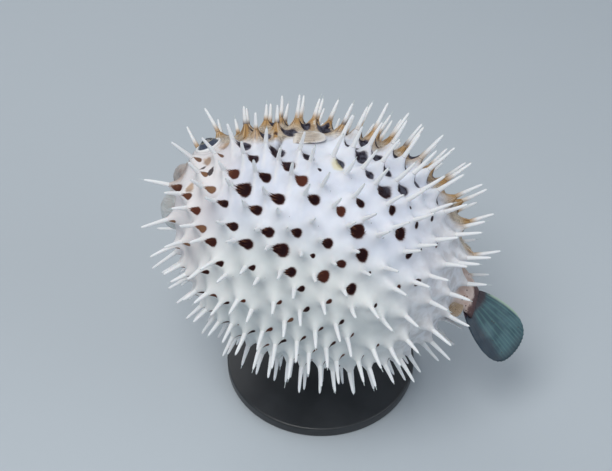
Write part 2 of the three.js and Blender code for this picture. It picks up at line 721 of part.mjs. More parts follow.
const standRod = solidOf(new THREE.CylinderGeometry(ROD_RADIUS, ROD_RADIUS, rodLength, 20))
  .rotate([90, 0, 0])
  .translate([rodSpot.x, rodSpot.y, BASE_HEIGHT - ROD_SOCKET + GAP + rodLength / 2]);

// ---------- out ----------
const COLOURS = {
  skin: 0xf1eef0, lip: 0xb9b3ae, beak: 0xefe6d2, eye: 0x3a4250,
  fin: 0xb9b18f, tail: 0x7d8b7a, stand: 0x2b2d30, rod: 0x9a9c9e,
};
const group = new THREE.Group();
group.name = 'porcupine_pufferfish';

function addPart(name, solid, colour, posed) {
  const pose = posed ? POSE.elements : new THREE.Matrix4().elements;
  const raw = solid.transform(pose).getMesh();
  const geometry = new THREE.BufferGeometry();
  geometry.setAttribute('position', new THREE.BufferAttribute(Float32Array.from(raw.vertProperties), 3));
  geometry.setIndex(new THREE.BufferAttribute(Uint32Array.from(raw.triVerts), 1));
  geometry.computeVertexNormals();
  const mesh = new THREE.Mesh(geometry, new THREE.MeshStandardMaterial({ color: colour, roughness: 0.6 }));
  mesh.name = name;
  group.add(mesh);
}

addPart('head', head, COLOURS.skin, true);
addPart('trunk', trunk, COLOURS.skin, true);
addPart('tail_stalk', stalk, COLOURS.skin, true);
addPart('upper_lip', upperLip, COLOURS.lip, true);
addPart('lower_lip', lowerLip, COLOURS.lip, true);
addPart('upper_beak', upperBeak, COLOURS.beak, true);
addPart('lower_beak', lowerBeak, COLOURS.beak, true);
addPart('eye_left', eyeBalls.eye_left, COLOURS.eye, true);
addPart('eye_right', eyeBalls.eye_right, COLOURS.eye, true);
addPart('pectoral_fin_left', fins.pectoral_fin_left, COLOURS.fin, true);
addPart('pectoral_fin_right', fins.pectoral_fin_right, COLOURS.fin, true);
addPart('dorsal_fin', fins.dorsal_fin, COLOURS.fin, true);
addPart('anal_fin', fins.anal_fin, COLOURS.fin, true);
addPart('caudal_fin', caudalFin, COLOURS.tail, true);
addPart('stand_base', standBase, COLOURS.stand, false);
addPart('stand_rod', standRod, COLOURS.rod, false);

export default group;
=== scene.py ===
"""Blown-up porcupine pufferfish on a display stand: one living skin with its spines, eyes, mouth, fins, stand and stage."""

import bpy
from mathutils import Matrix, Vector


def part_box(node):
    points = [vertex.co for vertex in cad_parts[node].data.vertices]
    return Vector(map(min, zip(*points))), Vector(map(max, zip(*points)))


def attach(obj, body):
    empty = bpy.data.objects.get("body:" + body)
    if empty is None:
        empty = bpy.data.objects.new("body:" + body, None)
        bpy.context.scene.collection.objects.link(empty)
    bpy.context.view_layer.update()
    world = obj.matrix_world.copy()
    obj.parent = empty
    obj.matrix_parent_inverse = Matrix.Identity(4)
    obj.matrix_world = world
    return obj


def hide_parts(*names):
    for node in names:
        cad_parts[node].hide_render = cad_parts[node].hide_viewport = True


bl_info = {
    "name": "Porcupine pufferfish model",
    "version": (1, 0, 0),
    "blender": (4, 5, 0),
    "location": "3D View > Sidebar > Pufferfish",
    "description": "Builds a blown-up porcupine pufferfish, its stand and its stage",
    "category": "Object",
}

import math

import bmesh
import bpy
import numpy as np
from bpy.props import FloatProperty, FloatVectorProperty, IntProperty, PointerProperty
from mathutils import Matrix, Vector
from mathutils.geometry import delaunay_2d_cdt

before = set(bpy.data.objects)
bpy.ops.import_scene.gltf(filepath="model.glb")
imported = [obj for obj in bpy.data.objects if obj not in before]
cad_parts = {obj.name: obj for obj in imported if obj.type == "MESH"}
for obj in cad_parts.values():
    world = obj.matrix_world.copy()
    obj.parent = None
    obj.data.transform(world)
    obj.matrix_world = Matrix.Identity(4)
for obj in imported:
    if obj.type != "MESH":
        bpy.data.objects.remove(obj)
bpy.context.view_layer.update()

MM = 0.001
DEG = math.pi / 180

# ---- pose on the stand (lengths in millimetres, fish frame: x nose, y left, z back) ----
BALL_HEIGHT = 152.0
HEADING = 165.9
NOSE_UP = 9.8
BANK = 77.5

# ---- blown-up body ----
FRONT_LENGTH = 109.0
REAR_LENGTH = 114.0
HALF_WIDTH = 88.0
BACK_HEIGHT = 82.0
BELLY_DEPTH = 95.0
BALL_POWER = 2.3
HEAD_START = 50.0
HEAD_LENGTH = 66.0
HEAD_HALF_WIDTH = 56.0
HEAD_BACK = 42.0
HEAD_CHIN = 42.0
HEAD_TURN = 0.11
HEAD_TURN_START = 35.0
HEAD_TURN_FULL = 95.0
STALK_END = -132.0
STALK_HALF_WIDTH = 8.0
STALK_HALF_HEIGHT = 13.0
STALK_GROWTH = 0.42
STALK_BEND_START = -100.0
STALK_BEND_SIDE = 13.0
STALK_BEND_DOWN = 8.0

# ---- eyes and mouth ----
EYE = np.array([91.5, 50.0, 19.0])
EYE_RADIUS = 10.5
EYE_CENTRE_SINK = 6.3
EYE_MOUND = 4.5
EYE_MOUND_REACH = 15.0
MOUTH_Y = -1.0
MOUTH_Z = 1.0
LIP_X = 120.5
LIP_HALF_WIDTH = 21.0
LIP_RISE = 11.5
LIP_CORNER = 4.4
LIP_THICK = 9.5
LIP_THIN = 4.0
BEAK_SIZE = (9.0, 11.5, 6.6)
BEAK_SPLIT = 0.35
NOSTRIL = np.array([112.0, 27.0, 13.0])
# marks by place along the body, angle above the flank, turn from the nose's way, half length and half width
CHEEK_MARKS = (
    dict(x=91, angle=1, turn=80, long=4.4, wide=3.2, tone="tan"),
    dict(x=93, angle=-8, turn=105, long=4.4, wide=1.8, tone="dark"),
    dict(x=86, angle=-8, turn=95, long=3.8, wide=1.5, tone="dark"),
    dict(x=99, angle=-21, turn=75, long=4.0, wide=2.8, tone="tan"),
    dict(x=80, angle=15, turn=150, long=8.0, wide=5.0, tone="tan"),
    dict(x=3, angle=7, turn=10, long=6.0, wide=3.2, tone="straw"),
)
GILL_X = 47.0
SPOT_LEAST_SPACING = 14.6
FOLD_LENGTH = 27.0
FOLD_HEIGHT = 2.6
FOLD_HALF_WIDTH = 1.7

# ---- spines ----
SPINE_SPACING = 25.0
SPINE_ROW_STEP = 11.6
SPINE_LEAST_SPACING = 11.8
BARE_CLEAR = 5.5
SPINE_STRAY = 2.4
SPINE_LENGTH = 27.0
SPINE_BACK_EXTRA = 9.0
SPINE_FACE_LESS = 5.0
SPINE_BROW_EXTRA = 12.0
SPINE_BROW_REACH = 27.0
SPINE_BROW_LEAN = 0.5
SPINE_MOUTH_EXTRA = 9.0
SPINE_ROOT_RADIUS = 5.2
SPINE_ROOT_HEIGHT = 9.0
SPINE_SWEEP = 0.16
FIRST_ROW_RADIUS = 31.0
LAST_ROW_X = -114.5
HEAD_CUT_X = 50.0
STALK_CUT_X = -119
STALK_CLEAR = 18.0

# ---- fins ----
PECTORAL = dict(x=38.0, angle=25.0, base=16.0, length=25.0, spread=22.0, thick=1.5, cup=1.5)
DORSAL = dict(x=-107.0, base=12.0, length=16.0, spread=20.0, thick=1.4, cup=0.0)
ANAL = dict(x=-112.0, base=12.0, length=15.0, spread=22.0, thick=1.4, cup=0.0)
CAUDAL = dict(base=22.0, length=58.0, spread=50.0, thick=1.6, cup=2.0)
CAUDAL_AXIS = np.array([-0.80, -0.45, -0.30]) / math.sqrt(0.80 ** 2 + 0.45 ** 2 + 0.30 ** 2)
CAUDAL_TWIST = 16.0
FIN_SINK = 4.0
GAP = 0.3


# =====================================================================
# shape of the plain body, as arrays of points in millimetres
# =====================================================================
def unit(v):
    v = np.asarray(v, float)
    return v / np.linalg.norm(v, axis=-1, keepdims=True)


def smooth_step(low, high, value):
    t = np.clip((np.asarray(value, float) - low) / (high - low), 0, 1)
    return t * t * (3 - 2 * t)


def hash_share(i, k):
    s = math.sin(i * 127.1 + k * 311.7) * 43758.5453
    return s - math.floor(s)


def blend(a, b):
    return (np.maximum(a, 0) ** 6 + np.maximum(b, 0) ** 6) ** (1 / 6)


def ball_share(x):
    t = np.abs(x) / np.where(x > 0, FRONT_LENGTH, REAR_LENGTH)
    return np.where(t >= 1, 0, np.sqrt(np.maximum(1 - np.minimum(t, 1) ** BALL_POWER, 0)))


def head_share(x):
    t = np.clip((x - HEAD_START) / HEAD_LENGTH, None, 1)
    low = np.maximum(0, 1 + x / HEAD_START * 0.2 - 0.2)
    high = np.maximum(1 - np.maximum(t, 0) ** 7, 0) ** 0.3
    return np.where(t >= 1, 0, np.where(t <= 0, low, high))


def stalk_radius(x, end_radius):
    return np.where(x > 0, 0, end_radius + STALK_GROWTH * np.maximum(0, x - STALK_END) * 0.5)


def section_radius(x, angle):
    x = np.asarray(x, float)
    c, s = np.cos(angle), np.sin(angle)
    ball = ball_share(x)
    head = np.where(x > 0, head_share(x), 0)
    width = blend(blend(HALF_WIDTH * ball, HEAD_HALF_WIDTH * head), stalk_radius(x, STALK_HALF_WIDTH))
    back = blend(blend(BACK_HEIGHT * ball, HEAD_BACK * head), stalk_radius(x, STALK_HALF_HEIGHT))
    belly = blend(blend(BELLY_DEPTH * ball, HEAD_CHIN * head), stalk_radius(x, STALK_HALF_HEIGHT))
    height = np.where(s > 0, back, belly)
    return 1 / np.sqrt((c / np.maximum(width, 1e-9)) ** 2 + (s / np.maximum(height, 1e-9)) ** 2)


def face_turn(x):
    return HEAD_TURN * smooth_step(HEAD_TURN_START, HEAD_TURN_FULL, x)


def inside(p):
    x = p[:, 0] - face_turn(p[:, 0]) * p[:, 1]
    kept = (x > STALK_END) & (x < HEAD_START + HEAD_LENGTH)
    return kept & (np.hypot(p[:, 1], p[:, 2]) < section_radius(x, np.arctan2(p[:, 2], p[:, 1])))


EYE_WAYS = [unit([EYE[0] + HEAD_TURN * EYE[1], EYE[1], EYE[2]]), unit([EYE[0] - HEAD_TURN * EYE[1], -EYE[1], EYE[2]])]


def on_skin(ways):
    """Points of the plain skin along the given ways from the middle of the ball."""
    w = unit(np.atleast_2d(ways))
    low = np.full(len(w), 4.0)
    high = np.full(len(w), 190.0)
    for _ in range(34):
        mid = (low + high) / 2
        within = inside(w * mid[:, None])
        low = np.where(within, mid, low)
        high = np.where(within, high, mid)
    mound = 0
    for eye in EYE_WAYS:
        away = np.arccos(np.clip(w @ eye, -1, 1)) * low / EYE_MOUND_REACH
        mound = mound + EYE_MOUND * np.exp(-away * away)
    return w * (low + mound)[:, None]


def skin_at(x, angle):
    x, angle = np.atleast_1d(x).astype(float), np.atleast_1d(angle).astype(float)
    r = section_radius(x, angle)
    y = r * np.cos(angle)
    return on_skin(np.stack([x + face_turn(x) * y, y, r * np.sin(angle)], 1))


def skin_normal(ways):
    w = unit(np.atleast_2d(ways))
    side = np.cross([0, 0, 1.0], w)
    side[np.linalg.norm(side, axis=1) < 0.05] = [0, 1.0, 0]
    side = unit(side)
    up = unit(np.cross(w, side))
    step = 0.02
    a, b = on_skin(w + side * step), on_skin(w - side * step)
    c, d = on_skin(w + up * step), on_skin(w - up * step)
    return unit(np.cross(a - b, c - d))


def bend_stalk(p):
    """The tail stalk curls to the right and a little down."""
    p = np.array(p, float)
    t = np.clip((STALK_BEND_START - p[..., 0]) / (STALK_BEND_START - STALK_END), 0, 1.2)
    p[..., 1] -= STALK_BEND_SIDE * t * t
    p[..., 2] -= STALK_BEND_DOWN * t * t
    return p


# ---- pose: from the fish's own frame to the stand's ----
NOSE = np.array([math.cos(HEADING * DEG) * math.cos(NOSE_UP * DEG), math.sin(HEADING * DEG) * math.cos(NOSE_UP * DEG), math.sin(NOSE_UP * DEG)])
LEVEL = unit(np.cross([0, 0, 1.0], NOSE))
UPRIGHT = np.cross(NOSE, LEVEL)
LEFT = LEVEL * math.cos(BANK * DEG) + UPRIGHT * math.sin(BANK * DEG)
BACK = np.cross(NOSE, LEFT)
POSE = np.stack([NOSE, LEFT, BACK], 1)


def to_stand(p):
    """Fish millimetres to metres in the shared frame."""
    return (np.asarray(p, float) @ POSE.T + [0, 0, BALL_HEIGHT]) * MM


ROD_WAY = np.array([-NOSE[2], -LEFT[2], -BACK[2]])
ROD_SPOT = on_skin(ROD_WAY)[0]
EYE_SPOTS = [on_skin(w)[0] for w in EYE_WAYS]
EYE_OUTS = [skin_normal(w)[0] for w in EYE_WAYS]
PECTORAL_SPOTS = [skin_at(PECTORAL["x"], PECTORAL["angle"] * DEG)[0], skin_at(PECTORAL["x"], math.pi - PECTORAL["angle"] * DEG)[0]]
DORSAL_SPOT = skin_at(DORSAL["x"], math.pi / 2)[0]
ANAL_SPOT = skin_at(ANAL["x"], -math.pi / 2)[0]
MARK_SPOTS = skin_at([m["x"] for m in CHEEK_MARKS], [m["angle"] * DEG for m in CHEEK_MARKS])


def fin_places():
    """Each fin's sizes, root, aim along the rays and the way it is wide."""
    out = skin_normal(PECTORAL_SPOTS[0])[0]
    up = unit(np.cross([1.0, 0, 0], out))
    aim = up * 0.16 + out * 0.30
    aim[0] -= 0.93
    aim = unit(aim)
    mirrored = aim * [1, -1, 1]
    axis = Vector(CAUDAL_AXIS)
    tail_wide = Vector((0, 0, 1))
    tail_wide.rotate(Matrix.Rotation(CAUDAL_TWIST * DEG, 3, axis))
    return {
        "pectoral_fin_left": (PECTORAL, PECTORAL_SPOTS[0], aim, up, 1),
        "pectoral_fin_right": (PECTORAL, PECTORAL_SPOTS[1], mirrored, up * [1, -1, 1], -1),
        "dorsal_fin": (DORSAL, bend_stalk(DORSAL_SPOT), unit([-0.90, -0.22, 0.06]), np.array([1, 0.1, 1.6]), 1),
        "anal_fin": (ANAL, bend_stalk(ANAL_SPOT), unit([-0.95, -0.22, -0.18]), np.array([-1, 0.1, 1.6]), 1),
        "caudal_fin": (CAUDAL, bend_stalk([STALK_END - GAP, 0, 0]), CAUDAL_AXIS, np.array(tail_wide), 1),
    }


def ray_curve(t):
    """The outer rays leave the root wide and straighten toward the tip, as in a paddle."""
    return 1.3 - 0.6 * t


def fin_basis(aim, wide):
    z = unit(wide - aim * (wide @ aim))
    return aim, np.cross(z, aim), z


# =====================================================================
# where the spines stand
# =====================================================================
def spine_rows():
    x = HEAD_START + HEAD_LENGTH - 0.02
    while section_radius(x, 0.0) < FIRST_ROW_RADIUS:
        x -= 0.05
    rows = [x]
    steps = x - 0.25 * np.arange(0, 1200)
    mean = (section_radius(steps, 0.0) + section_radius(steps, -1.2) + section_radius(steps, 1.2)) / 3
    run = 0.0
    for k in range(1, len(steps)):
        if steps[k - 1] <= LAST_ROW_X:
            break
        run += math.hypot(0.25, mean[k] - mean[k - 1])
        if run >= SPINE_ROW_STEP:
            rows.append(steps[k])
            run = 0.0
    return rows


def lattice_places():
    places = []
    for row, x in enumerate(spine_rows()):
        mean = float(section_radius(x, 0.0) + section_radius(x, 1.57) * 0.5 + section_radius(x, -1.57) * 0.5) / 2
        count = max(6, 2 * math.floor(math.pi * mean / SPINE_SPACING + 0.5))
        for i in range(count):
            number = row * 40 + i
            stray = SPINE_STRAY * min(1.0, max(0.35, (abs(x - HEAD_CUT_X) - 4) / 16))
            angle = 2 * math.pi * (i + (row % 2) / 2) / count + 0.02 + 2 * SPINE_STRAY * (hash_share(number, 21) - 0.5) / max(mean, 20)
            places.append((x + 2 * stray * (hash_share(number, 22) - 0.5), angle, number))
    return places


def brow_share(root):
    """1 close round an eye, 0 away from it."""
    away = min(float(np.linalg.norm(spot - root)) for spot in EYE_SPOTS)
    return math.exp(-((away / SPINE_BROW_REACH) ** 4))


def spine_length(root):
    backward = max(0.0, math.sin(math.atan2(root[2], root[1]) + 0.75)) * math.exp(-(((root[0] + 30) / 65) ** 2))
    facing = min(1.0, max(0.0, (root[0] - 25) / 50))
    away = math.hypot(root[1] - MOUTH_Y, root[2] - MOUTH_Z)
    beside = math.exp(-(((away - 34) / 12) ** 2)) if root[0] > 80 else 0.0
    longer = max(SPINE_MOUTH_EXTRA * beside, SPINE_BROW_EXTRA * brow_share(root))
    return SPINE_LENGTH + SPINE_BACK_EXTRA * backward - SPINE_FACE_LESS * facing + longer


def plain_corners():
    """Bare spots of the face that no spine grows near."""
    ways = [np.array([1, 0, 0.001])]
    for radius in (12, 22):
        for i in range(8):
            a = (i + (0.5 if radius > 20 else 0)) * math.pi / 4
            ways.append(np.array([HEAD_START + HEAD_LENGTH, radius * math.cos(a), radius * math.sin(a)]))
    for eye in EYE_WAYS:
        side = unit(np.cross([0, 0, 1.0], eye))
        up = np.cross(eye, side)
        for reach in (0, 0.085, 0.125):
            for i in range(8 if reach else 1):
                a = (i + reach * 3) * math.pi / 4
                ways.append(eye + side * reach * math.cos(a) + up * reach * math.sin(a))
    return on_skin(np.array(ways))


def find_spines():
    """Root, aim, length and the two ways across the skin for every spine."""
    fin_points = []
    for fin, spot, aim, wide, _ in fin_places().values():
        x, _, z = fin_basis(aim, wide)
        for u in np.arange(-1, 1.01, 0.25):
            for t in np.arange(0.1, 1.01, 0.15):
                turn = u * fin["spread"] / 2 * DEG * ray_curve(t)
                fin_points.append(spot + x * fin["length"] * t * math.cos(turn) + z * (u * fin["base"] / 2 + fin["length"] * t * math.sin(turn)))
    fin_points = np.array(fin_points)
    stalk_points = bend_stalk([[x, 0, 0] for x in range(STALK_CUT_X, int(STALK_END - 3), -2)])
    clear_spots = [(EYE_SPOTS[0], 19), (EYE_SPOTS[1], 19), (PECTORAL_SPOTS[0], 17), (PECTORAL_SPOTS[1], 17), (DORSAL_SPOT, 15),
                   (ANAL_SPOT, 15), (ROD_SPOT, 12), (on_skin([LIP_X, MOUTH_Y, MOUTH_Z])[0], 33)]
    plain = plain_corners()
    places = lattice_places()
    roots = skin_at([p[0] for p in places], [p[1] for p in places])
    normals = skin_normal(roots)
    spines = []
    for (x, angle, number), root, normal in zip(places, roots, normals):
        if spines and min(np.linalg.norm(np.array([s["root"] for s in spines]) - root, axis=1)) < SPINE_LEAST_SPACING:
            continue
        if any(np.linalg.norm(spot - root) <= reach for spot, reach in clear_spots):
            continue
        if np.linalg.norm(plain - root, axis=1).min() < BARE_CLEAR:
            continue
        aim = normal.copy()
        aim[0] -= SPINE_SWEEP * (0.6 + 0.8 * hash_share(number, 1))
        aim[0] += SPINE_BROW_LEAN * brow_share(root)
        aim[1] += 0.10 * (hash_share(number, 2) - 0.5)
        aim[2] += 0.10 * (hash_share(number, 3) - 0.5)
        aim = unit(aim)
        side = np.cross([1.0, 0, 0], normal)
        side = unit(side) if np.linalg.norm(side) >= 0.2 else np.array([0, 1.0, 0])
        along = unit(np.cross(normal, side))
        length = spine_length(root) * (0.92 + 0.16 * hash_share(number, 5))

        def misses(points, room):
            run = np.clip((points - root) @ aim, 0, length)
            away = np.linalg.norm(points - (root + run[:, None] * aim), axis=1)
            return bool((away > room(run)).all())

        if not misses(stalk_points, lambda run: STALK_CLEAR + 5):
            continue
        if not misses(fin_points, lambda run: 4 + SPINE_ROOT_RADIUS * np.maximum(0, 1 - run / SPINE_ROOT_HEIGHT) * 0.8):
            continue
        spines.append(dict(root=root, normal=normal, aim=aim, side=side, along=along, length=length,
                           turn=0.15 + 0.5 * hash_share(number, 4), number=number))
    return spines


SPINES = find_spines()
ROOTS = np.array([s["root"] for s in SPINES])
AIMS = np.array([s["aim"] for s in SPINES])


# =====================================================================
# shader helpers
# =====================================================================
def srgb(red, green, blue):
    def one(c):
        c /= 255
        return c / 12.92 if c <= 0.04045 else ((c + 0.055) / 1.055) ** 2.4
    return (one(red), one(green), one(blue), 1.0)


class Graph:
    """A small hand for laying out shader nodes."""

    def __init__(self, tree):
        self.tree = tree

    def node(self, kind, **settings):
        n = self.tree.nodes.new(kind)
        for key, value in settings.items():
            setattr(n, key, value)
        return n

    def put(self, socket, value):
        if isinstance(value, bpy.types.NodeSocket):
            self.tree.links.new(value, socket)
        else:
            socket.default_value = value

    def math(self, how, a, b=0.0, clamp=False):
        n = self.node("ShaderNodeMath", operation=how, use_clamp=clamp)
        self.put(n.inputs[0], a)
        self.put(n.inputs[1], b)
        return n.outputs[0]

    def step(self, value, low, high, start=0.0, end=1.0):
        n = self.node("ShaderNodeMapRange", interpolation_type="SMOOTHSTEP")
        for socket, v in zip(n.inputs[:5], (value, low, high, start, end)):
            self.put(socket, v)
        return n.outputs[0]

    def mix(self, share, a, b, how="MIX"):
        n = self.node("ShaderNodeMix", data_type="RGBA", blend_type=how)
        self.put(n.inputs[0], share)
        self.put(n.inputs[6], a)
        self.put(n.inputs[7], b)
        return n.outputs[2]

    def noise(self, place, scale, detail=3.0, rough=0.55, distortion=0.0):
        n = self.node("ShaderNodeTexNoise")
        self.put(n.inputs["Vector"], place)
        n.inputs["Scale"].default_value = scale
        n.inputs["Detail"].default_value = detail
        n.inputs["Roughness"].default_value = rough
        n.inputs["Distortion"].default_value = distortion
        return n.outputs[0]

    def cells(self, place, scale, feature="F1"):
        n = self.node("ShaderNodeTexVoronoi", feature=feature)
        self.put(n.inputs["Vector"], place)
        n.inputs["Scale"].default_value = scale
        return n.outputs["Distance"]

    def place(self):
        return self.node("ShaderNodeTexCoord").outputs["Object"]

    def attribute(self, name):
        n = self.node("ShaderNodeAttribute", attribute_name=name)
        s = self.node("ShaderNodeSeparateXYZ")
        self.put(s.inputs[0], n.outputs["Vector"])
        return s.outputs[0], s.outputs[1], s.outputs[2]

    def join(self, x, y, z):
        n = self.node("ShaderNodeCombineXYZ")
        for socket, v in zip(n.inputs, (x, y, z)):
            self.put(socket, v)
        return n.outputs[0]

    def bump(self, height, strength, distance, normal=None):
        n = self.node("ShaderNodeBump")
        n.inputs["Strength"].default_value = strength
        n.inputs["Distance"].default_value = distance
        self.put(n.inputs["Height"], height)
        if normal is not None:
            self.put(n.inputs["Normal"], normal)
        return n.outputs[0]

    def group(self, name, **values):
        n = self.node("ShaderNodeGroup", node_tree=bpy.data.node_groups[name])
        for key, value in values.items():
            self.put(n.inputs[key.replace("_", " ")], value)
        return n


def new_group(name, inputs, outputs):
    tree = bpy.data.node_groups.new(name, "ShaderNodeTree")
    for label, kind, default in inputs:
        s = tree.interface.new_socket(label, in_out="INPUT", socket_type=kind)
        if default is not None:
            s.default_value = default
    for label, kind in outputs:
        tree.interface.new_socket(label, in_out="OUTPUT", socket_type=kind)
    g = Graph(tree)
    return g, g.node("NodeGroupInput"), g.node("NodeGroupOutput")


def build_groups():
    """Effects that several finishes share."""
    if "fine wrinkles" in bpy.data.node_groups:
        return
    g, start, end = new_group("fine wrinkles", [("Place", "NodeSocketVector", None), ("Coarse", "NodeSocketFloat", 0.5)], [("Height", "NodeSocketFloat")])
    grain = g.noise(start.outputs["Place"], 900.0, 3.0, 0.6)
    folds = g.noise(start.outputs["Place"], 210.0, 4.0, 0.55, 0.6)
    ridge = g.math("ABSOLUTE", g.math("SUBTRACT", folds, 0.5))
    coarse = g.math("MULTIPLY", g.math("MULTIPLY", ridge, 3.0), start.outputs["Coarse"])
    g.put(end.inputs["Height"], g.math("ADD", g.math("MULTIPLY", grain, 0.35), coarse))

    g, start, end = new_group("mottling", [("Place", "NodeSocketVector", None), ("Size", "NodeSocketFloat", 60.0)], [("Mask", "NodeSocketFloat")])
    n = g.node("ShaderNodeTexNoise")
    g.put(n.inputs["Vector"], start.outputs["Place"])
    g.put(n.inputs["Scale"], start.outputs["Size"])
    n.inputs["Detail"].default_value = 3.0
    g.put(end.inputs["Mask"], g.step(n.outputs[0], 0.36, 0.64))


def new_material(name):
    build_groups()
    mat = bpy.data.materials.new(name)
    mat.use_nodes = True
    mat.node_tree.nodes.clear()
    g = Graph(mat.node_tree)
    shader = g.node("ShaderNodeBsdfPrincipled")
    g.put(g.node("ShaderNodeOutputMaterial").inputs["Surface"], shader.outputs[0])
    return mat, g, shader.inputs


def skin_material(settings):
    mat, g, s = new_material("puffer_skin")
    place = g.place()
    back, shaft, tent = g.attribute("zone")
    ring, painted_crease_shade, band = g.attribute("marks")
    u, v, tone = g.attribute("spot")

    # plain skin: pale blue white on the flanks, greyer below as painted shade, warmer on the face, tan above
    fx, fy, fz = g.attribute("fish_place")
    fy = g.math("ABSOLUTE", fy)
    soft = g.group("mottling", Place=place, Size=26.0).outputs[0]
    small = g.group("mottling", Place=place, Size=150.0).outputs[0]
    pale = g.mix(soft, tuple(settings.pale_skin) + (1,), srgb(218, 223, 236))
    # painted shade: the belly is greyed as if it lay in shadow
    pale = g.mix(g.math("MULTIPLY", g.step(fz, -28.0, -72.0), 0.85), pale, g.mix(soft, srgb(226, 229, 226), srgb(204, 210, 208)))
    pale = g.mix(g.math("MULTIPLY", g.step(fx, 58.0, 96.0), 0.8), pale, g.mix(soft, srgb(234, 228, 226), srgb(212, 204, 204)))
    rear = g.math("MULTIPLY", g.step(fx, -52.0, -104.0), 0.8)
    pale = g.mix(rear, pale, g.mix(small, srgb(224, 224, 228), srgb(196, 192, 192)))
    # painted highlight: the skin drawn up round each spine and along the taut folds is whitened
    pale = g.mix(g.math("MULTIPLY", tent, 0.7), pale, srgb(250, 249, 247))
    lines = g.noise(g.join(g.math("MULTIPLY", fx, 0.022), g.math("MULTIPLY", fy, 0.16), g.math("MULTIPLY", fz, 0.16)), 3.2, 4.0, 0.6, 1.2)
    creased = g.step(g.math("ABSOLUTE", g.math("SUBTRACT", lines, 0.5)), 0.045, 0.005)
    brown = g.mix(soft, tuple(settings.back_skin) + (1,), srgb(164, 138, 106))
    brown = g.mix(g.math("MULTIPLY", small, 0.5), brown, srgb(222, 214, 202))
    brown = g.mix(g.math("MULTIPLY", creased, 0.75), brown, srgb(84, 68, 62))
    spoke = g.node("ShaderNodeMath", operation="ARCTAN2")
    g.put(spoke.inputs[0], v)
    g.put(spoke.inputs[1], g.math("ADD", u, 1.3))
    fan = g.noise(g.join(g.math("MULTIPLY", spoke.outputs[0], 2.6), g.math("MULTIPLY", tone, 9.0), g.math("MULTIPLY", fx, 0.05)), 1.7, 3.0, 0.65)
    gilt = g.mix(g.step(fan, 0.36, 0.50), srgb(86, 60, 44), tuple(settings.back_tent) + (1,))
    gilt = g.mix(g.step(fan, 0.54, 0.68), gilt, srgb(232, 224, 212))
    brown = g.mix(g.step(tent, 0.12, 0.45), brown, gilt)
    ragged = g.math("ADD", back, g.math("MULTIPLY", g.math("SUBTRACT", g.noise(place, 70.0, 4.0), 0.5), 0.6))
    backness = g.step(ragged, 0.34, 0.74)
    colour = g.mix(backness, pale, brown)

    # one dark spot behind each spine, drawn out toward it in streaks
    wide = g.math("ADD", g.math("MULTIPLY", u, 0.26), 0.80)
    across = g.math("DIVIDE", v, g.math("MAXIMUM", wide, 0.3))
    reach = g.math("SQRT", g.math("ADD", g.math("MULTIPLY", u, u), g.math("MULTIPLY", across, across)))
    wobble = g.math("MULTIPLY", g.math("SUBTRACT", g.noise(place, 260.0, 4.0, 0.65), 0.5), 0.34)
    streak = g.noise(g.join(g.math("MULTIPLY", u, 0.6), g.math("MULTIPLY", v, 6.0), g.math("MULTIPLY", tone, 19.0)), 1.6, 3.0, 0.7)
    front = g.math("MAXIMUM", g.math("MULTIPLY", u, -1.0), 0.0)
    fray = g.math("MULTIPLY", g.math("MULTIPLY", g.math("SUBTRACT", streak, 0.40), g.math("ADD", front, 0.12)), 1.5)
    edge = g.math("ADD", g.math("ADD", reach, wobble), fray)
    mask = g.step(edge, 1.15, 0.86)
    dark = g.mix(g.step(tone, 0.30, 0.62), tuple(settings.spot_dark) + (1,), tuple(settings.spot_brown) + (1,))
    dark = g.mix(g.step(tone, 0.62, 0.92), dark, srgb(132, 98, 74))
    dark = g.mix(g.math("MULTIPLY", g.step(edge, 0.6, 1.05), 0.45), dark, tuple(settings.spot_brown) + (1,))
    dark = g.mix(g.math("MULTIPLY", g.math("MULTIPLY", g.step(streak, 0.48, 0.66), g.step(u, 0.3, -0.8)), 0.8), dark, srgb(138, 92, 64))
    # painted reflection: spots on the upper side turn blue grey as if they mirrored the sky
    painted_sky_sheen = g.mix(g.step(g.noise(place, 190.0, 4.0, 0.65), 0.40, 0.62), srgb(34, 32, 44), srgb(94, 96, 110))
    dark = g.mix(g.math("MULTIPLY", g.step(fz, -5.0, 16.0), 0.78), dark, painted_sky_sheen)
    halo = g.math("MULTIPLY", g.step(edge, 1.40, 0.95), 0.20)
    colour = g.mix(halo, colour, srgb(176, 146, 132))
    colour = g.mix(mask, colour, dark)

    # marks on each cheek and the brown rim of the snout
    frayed = g.math("MULTIPLY", g.math("SUBTRACT", g.noise(place, 420.0, 3.0), 0.5), 0.9)
    for mark, middle in zip(CHEEK_MARKS, MARK_SPOTS):
        out = unit(middle)
        ahead = unit(np.array([1.0, 0, 0]) - out * out[0])
        along = ahead * math.cos(mark["turn"] * DEG) + np.cross(ahead, out) * math.sin(mark["turn"] * DEG)
        over = np.cross(along, out)
        parts = []
        for way, size in ((along, mark["long"]), (over, mark["wide"])):
            run = g.math("MULTIPLY", g.math("SUBTRACT", fx, middle[0]), way[0] / size)
            run = g.math("ADD", run, g.math("MULTIPLY", g.math("SUBTRACT", fy, middle[1]), way[1] / size))
            run = g.math("ADD", run, g.math("MULTIPLY", g.math("SUBTRACT", fz, middle[2]), way[2] / size))
            parts.append(g.math("MULTIPLY", run, run))
        reach = g.math("ADD", g.math("SQRT", g.math("ADD", *parts)), frayed)
        if mark["tone"] == "tan":
            colour = g.mix(g.math("MULTIPLY", g.step(reach, 1.25, 0.55), 0.8), colour, g.mix(small, srgb(188, 152, 116), srgb(150, 118, 88)))
        elif mark["tone"] == "straw":
            colour = g.mix(g.math("MULTIPLY", g.step(reach, 1.3, 0.4), 0.75), colour, srgb(232, 222, 180))
        else:
            colour = g.mix(g.math("MULTIPLY", g.step(reach, 1.25, 0.85), 0.95), colour, srgb(58, 46, 48))
    snout = g.math("MULTIPLY", g.step(g.math("ADD", fx, g.math("MULTIPLY", frayed, 4.0)), 112.0, 116.5), g.step(fz, -20.0, -6.0))
    colour = g.mix(g.math("MULTIPLY", snout, 0.7), colour, g.mix(small, srgb(164, 136, 112), srgb(118, 94, 78)))
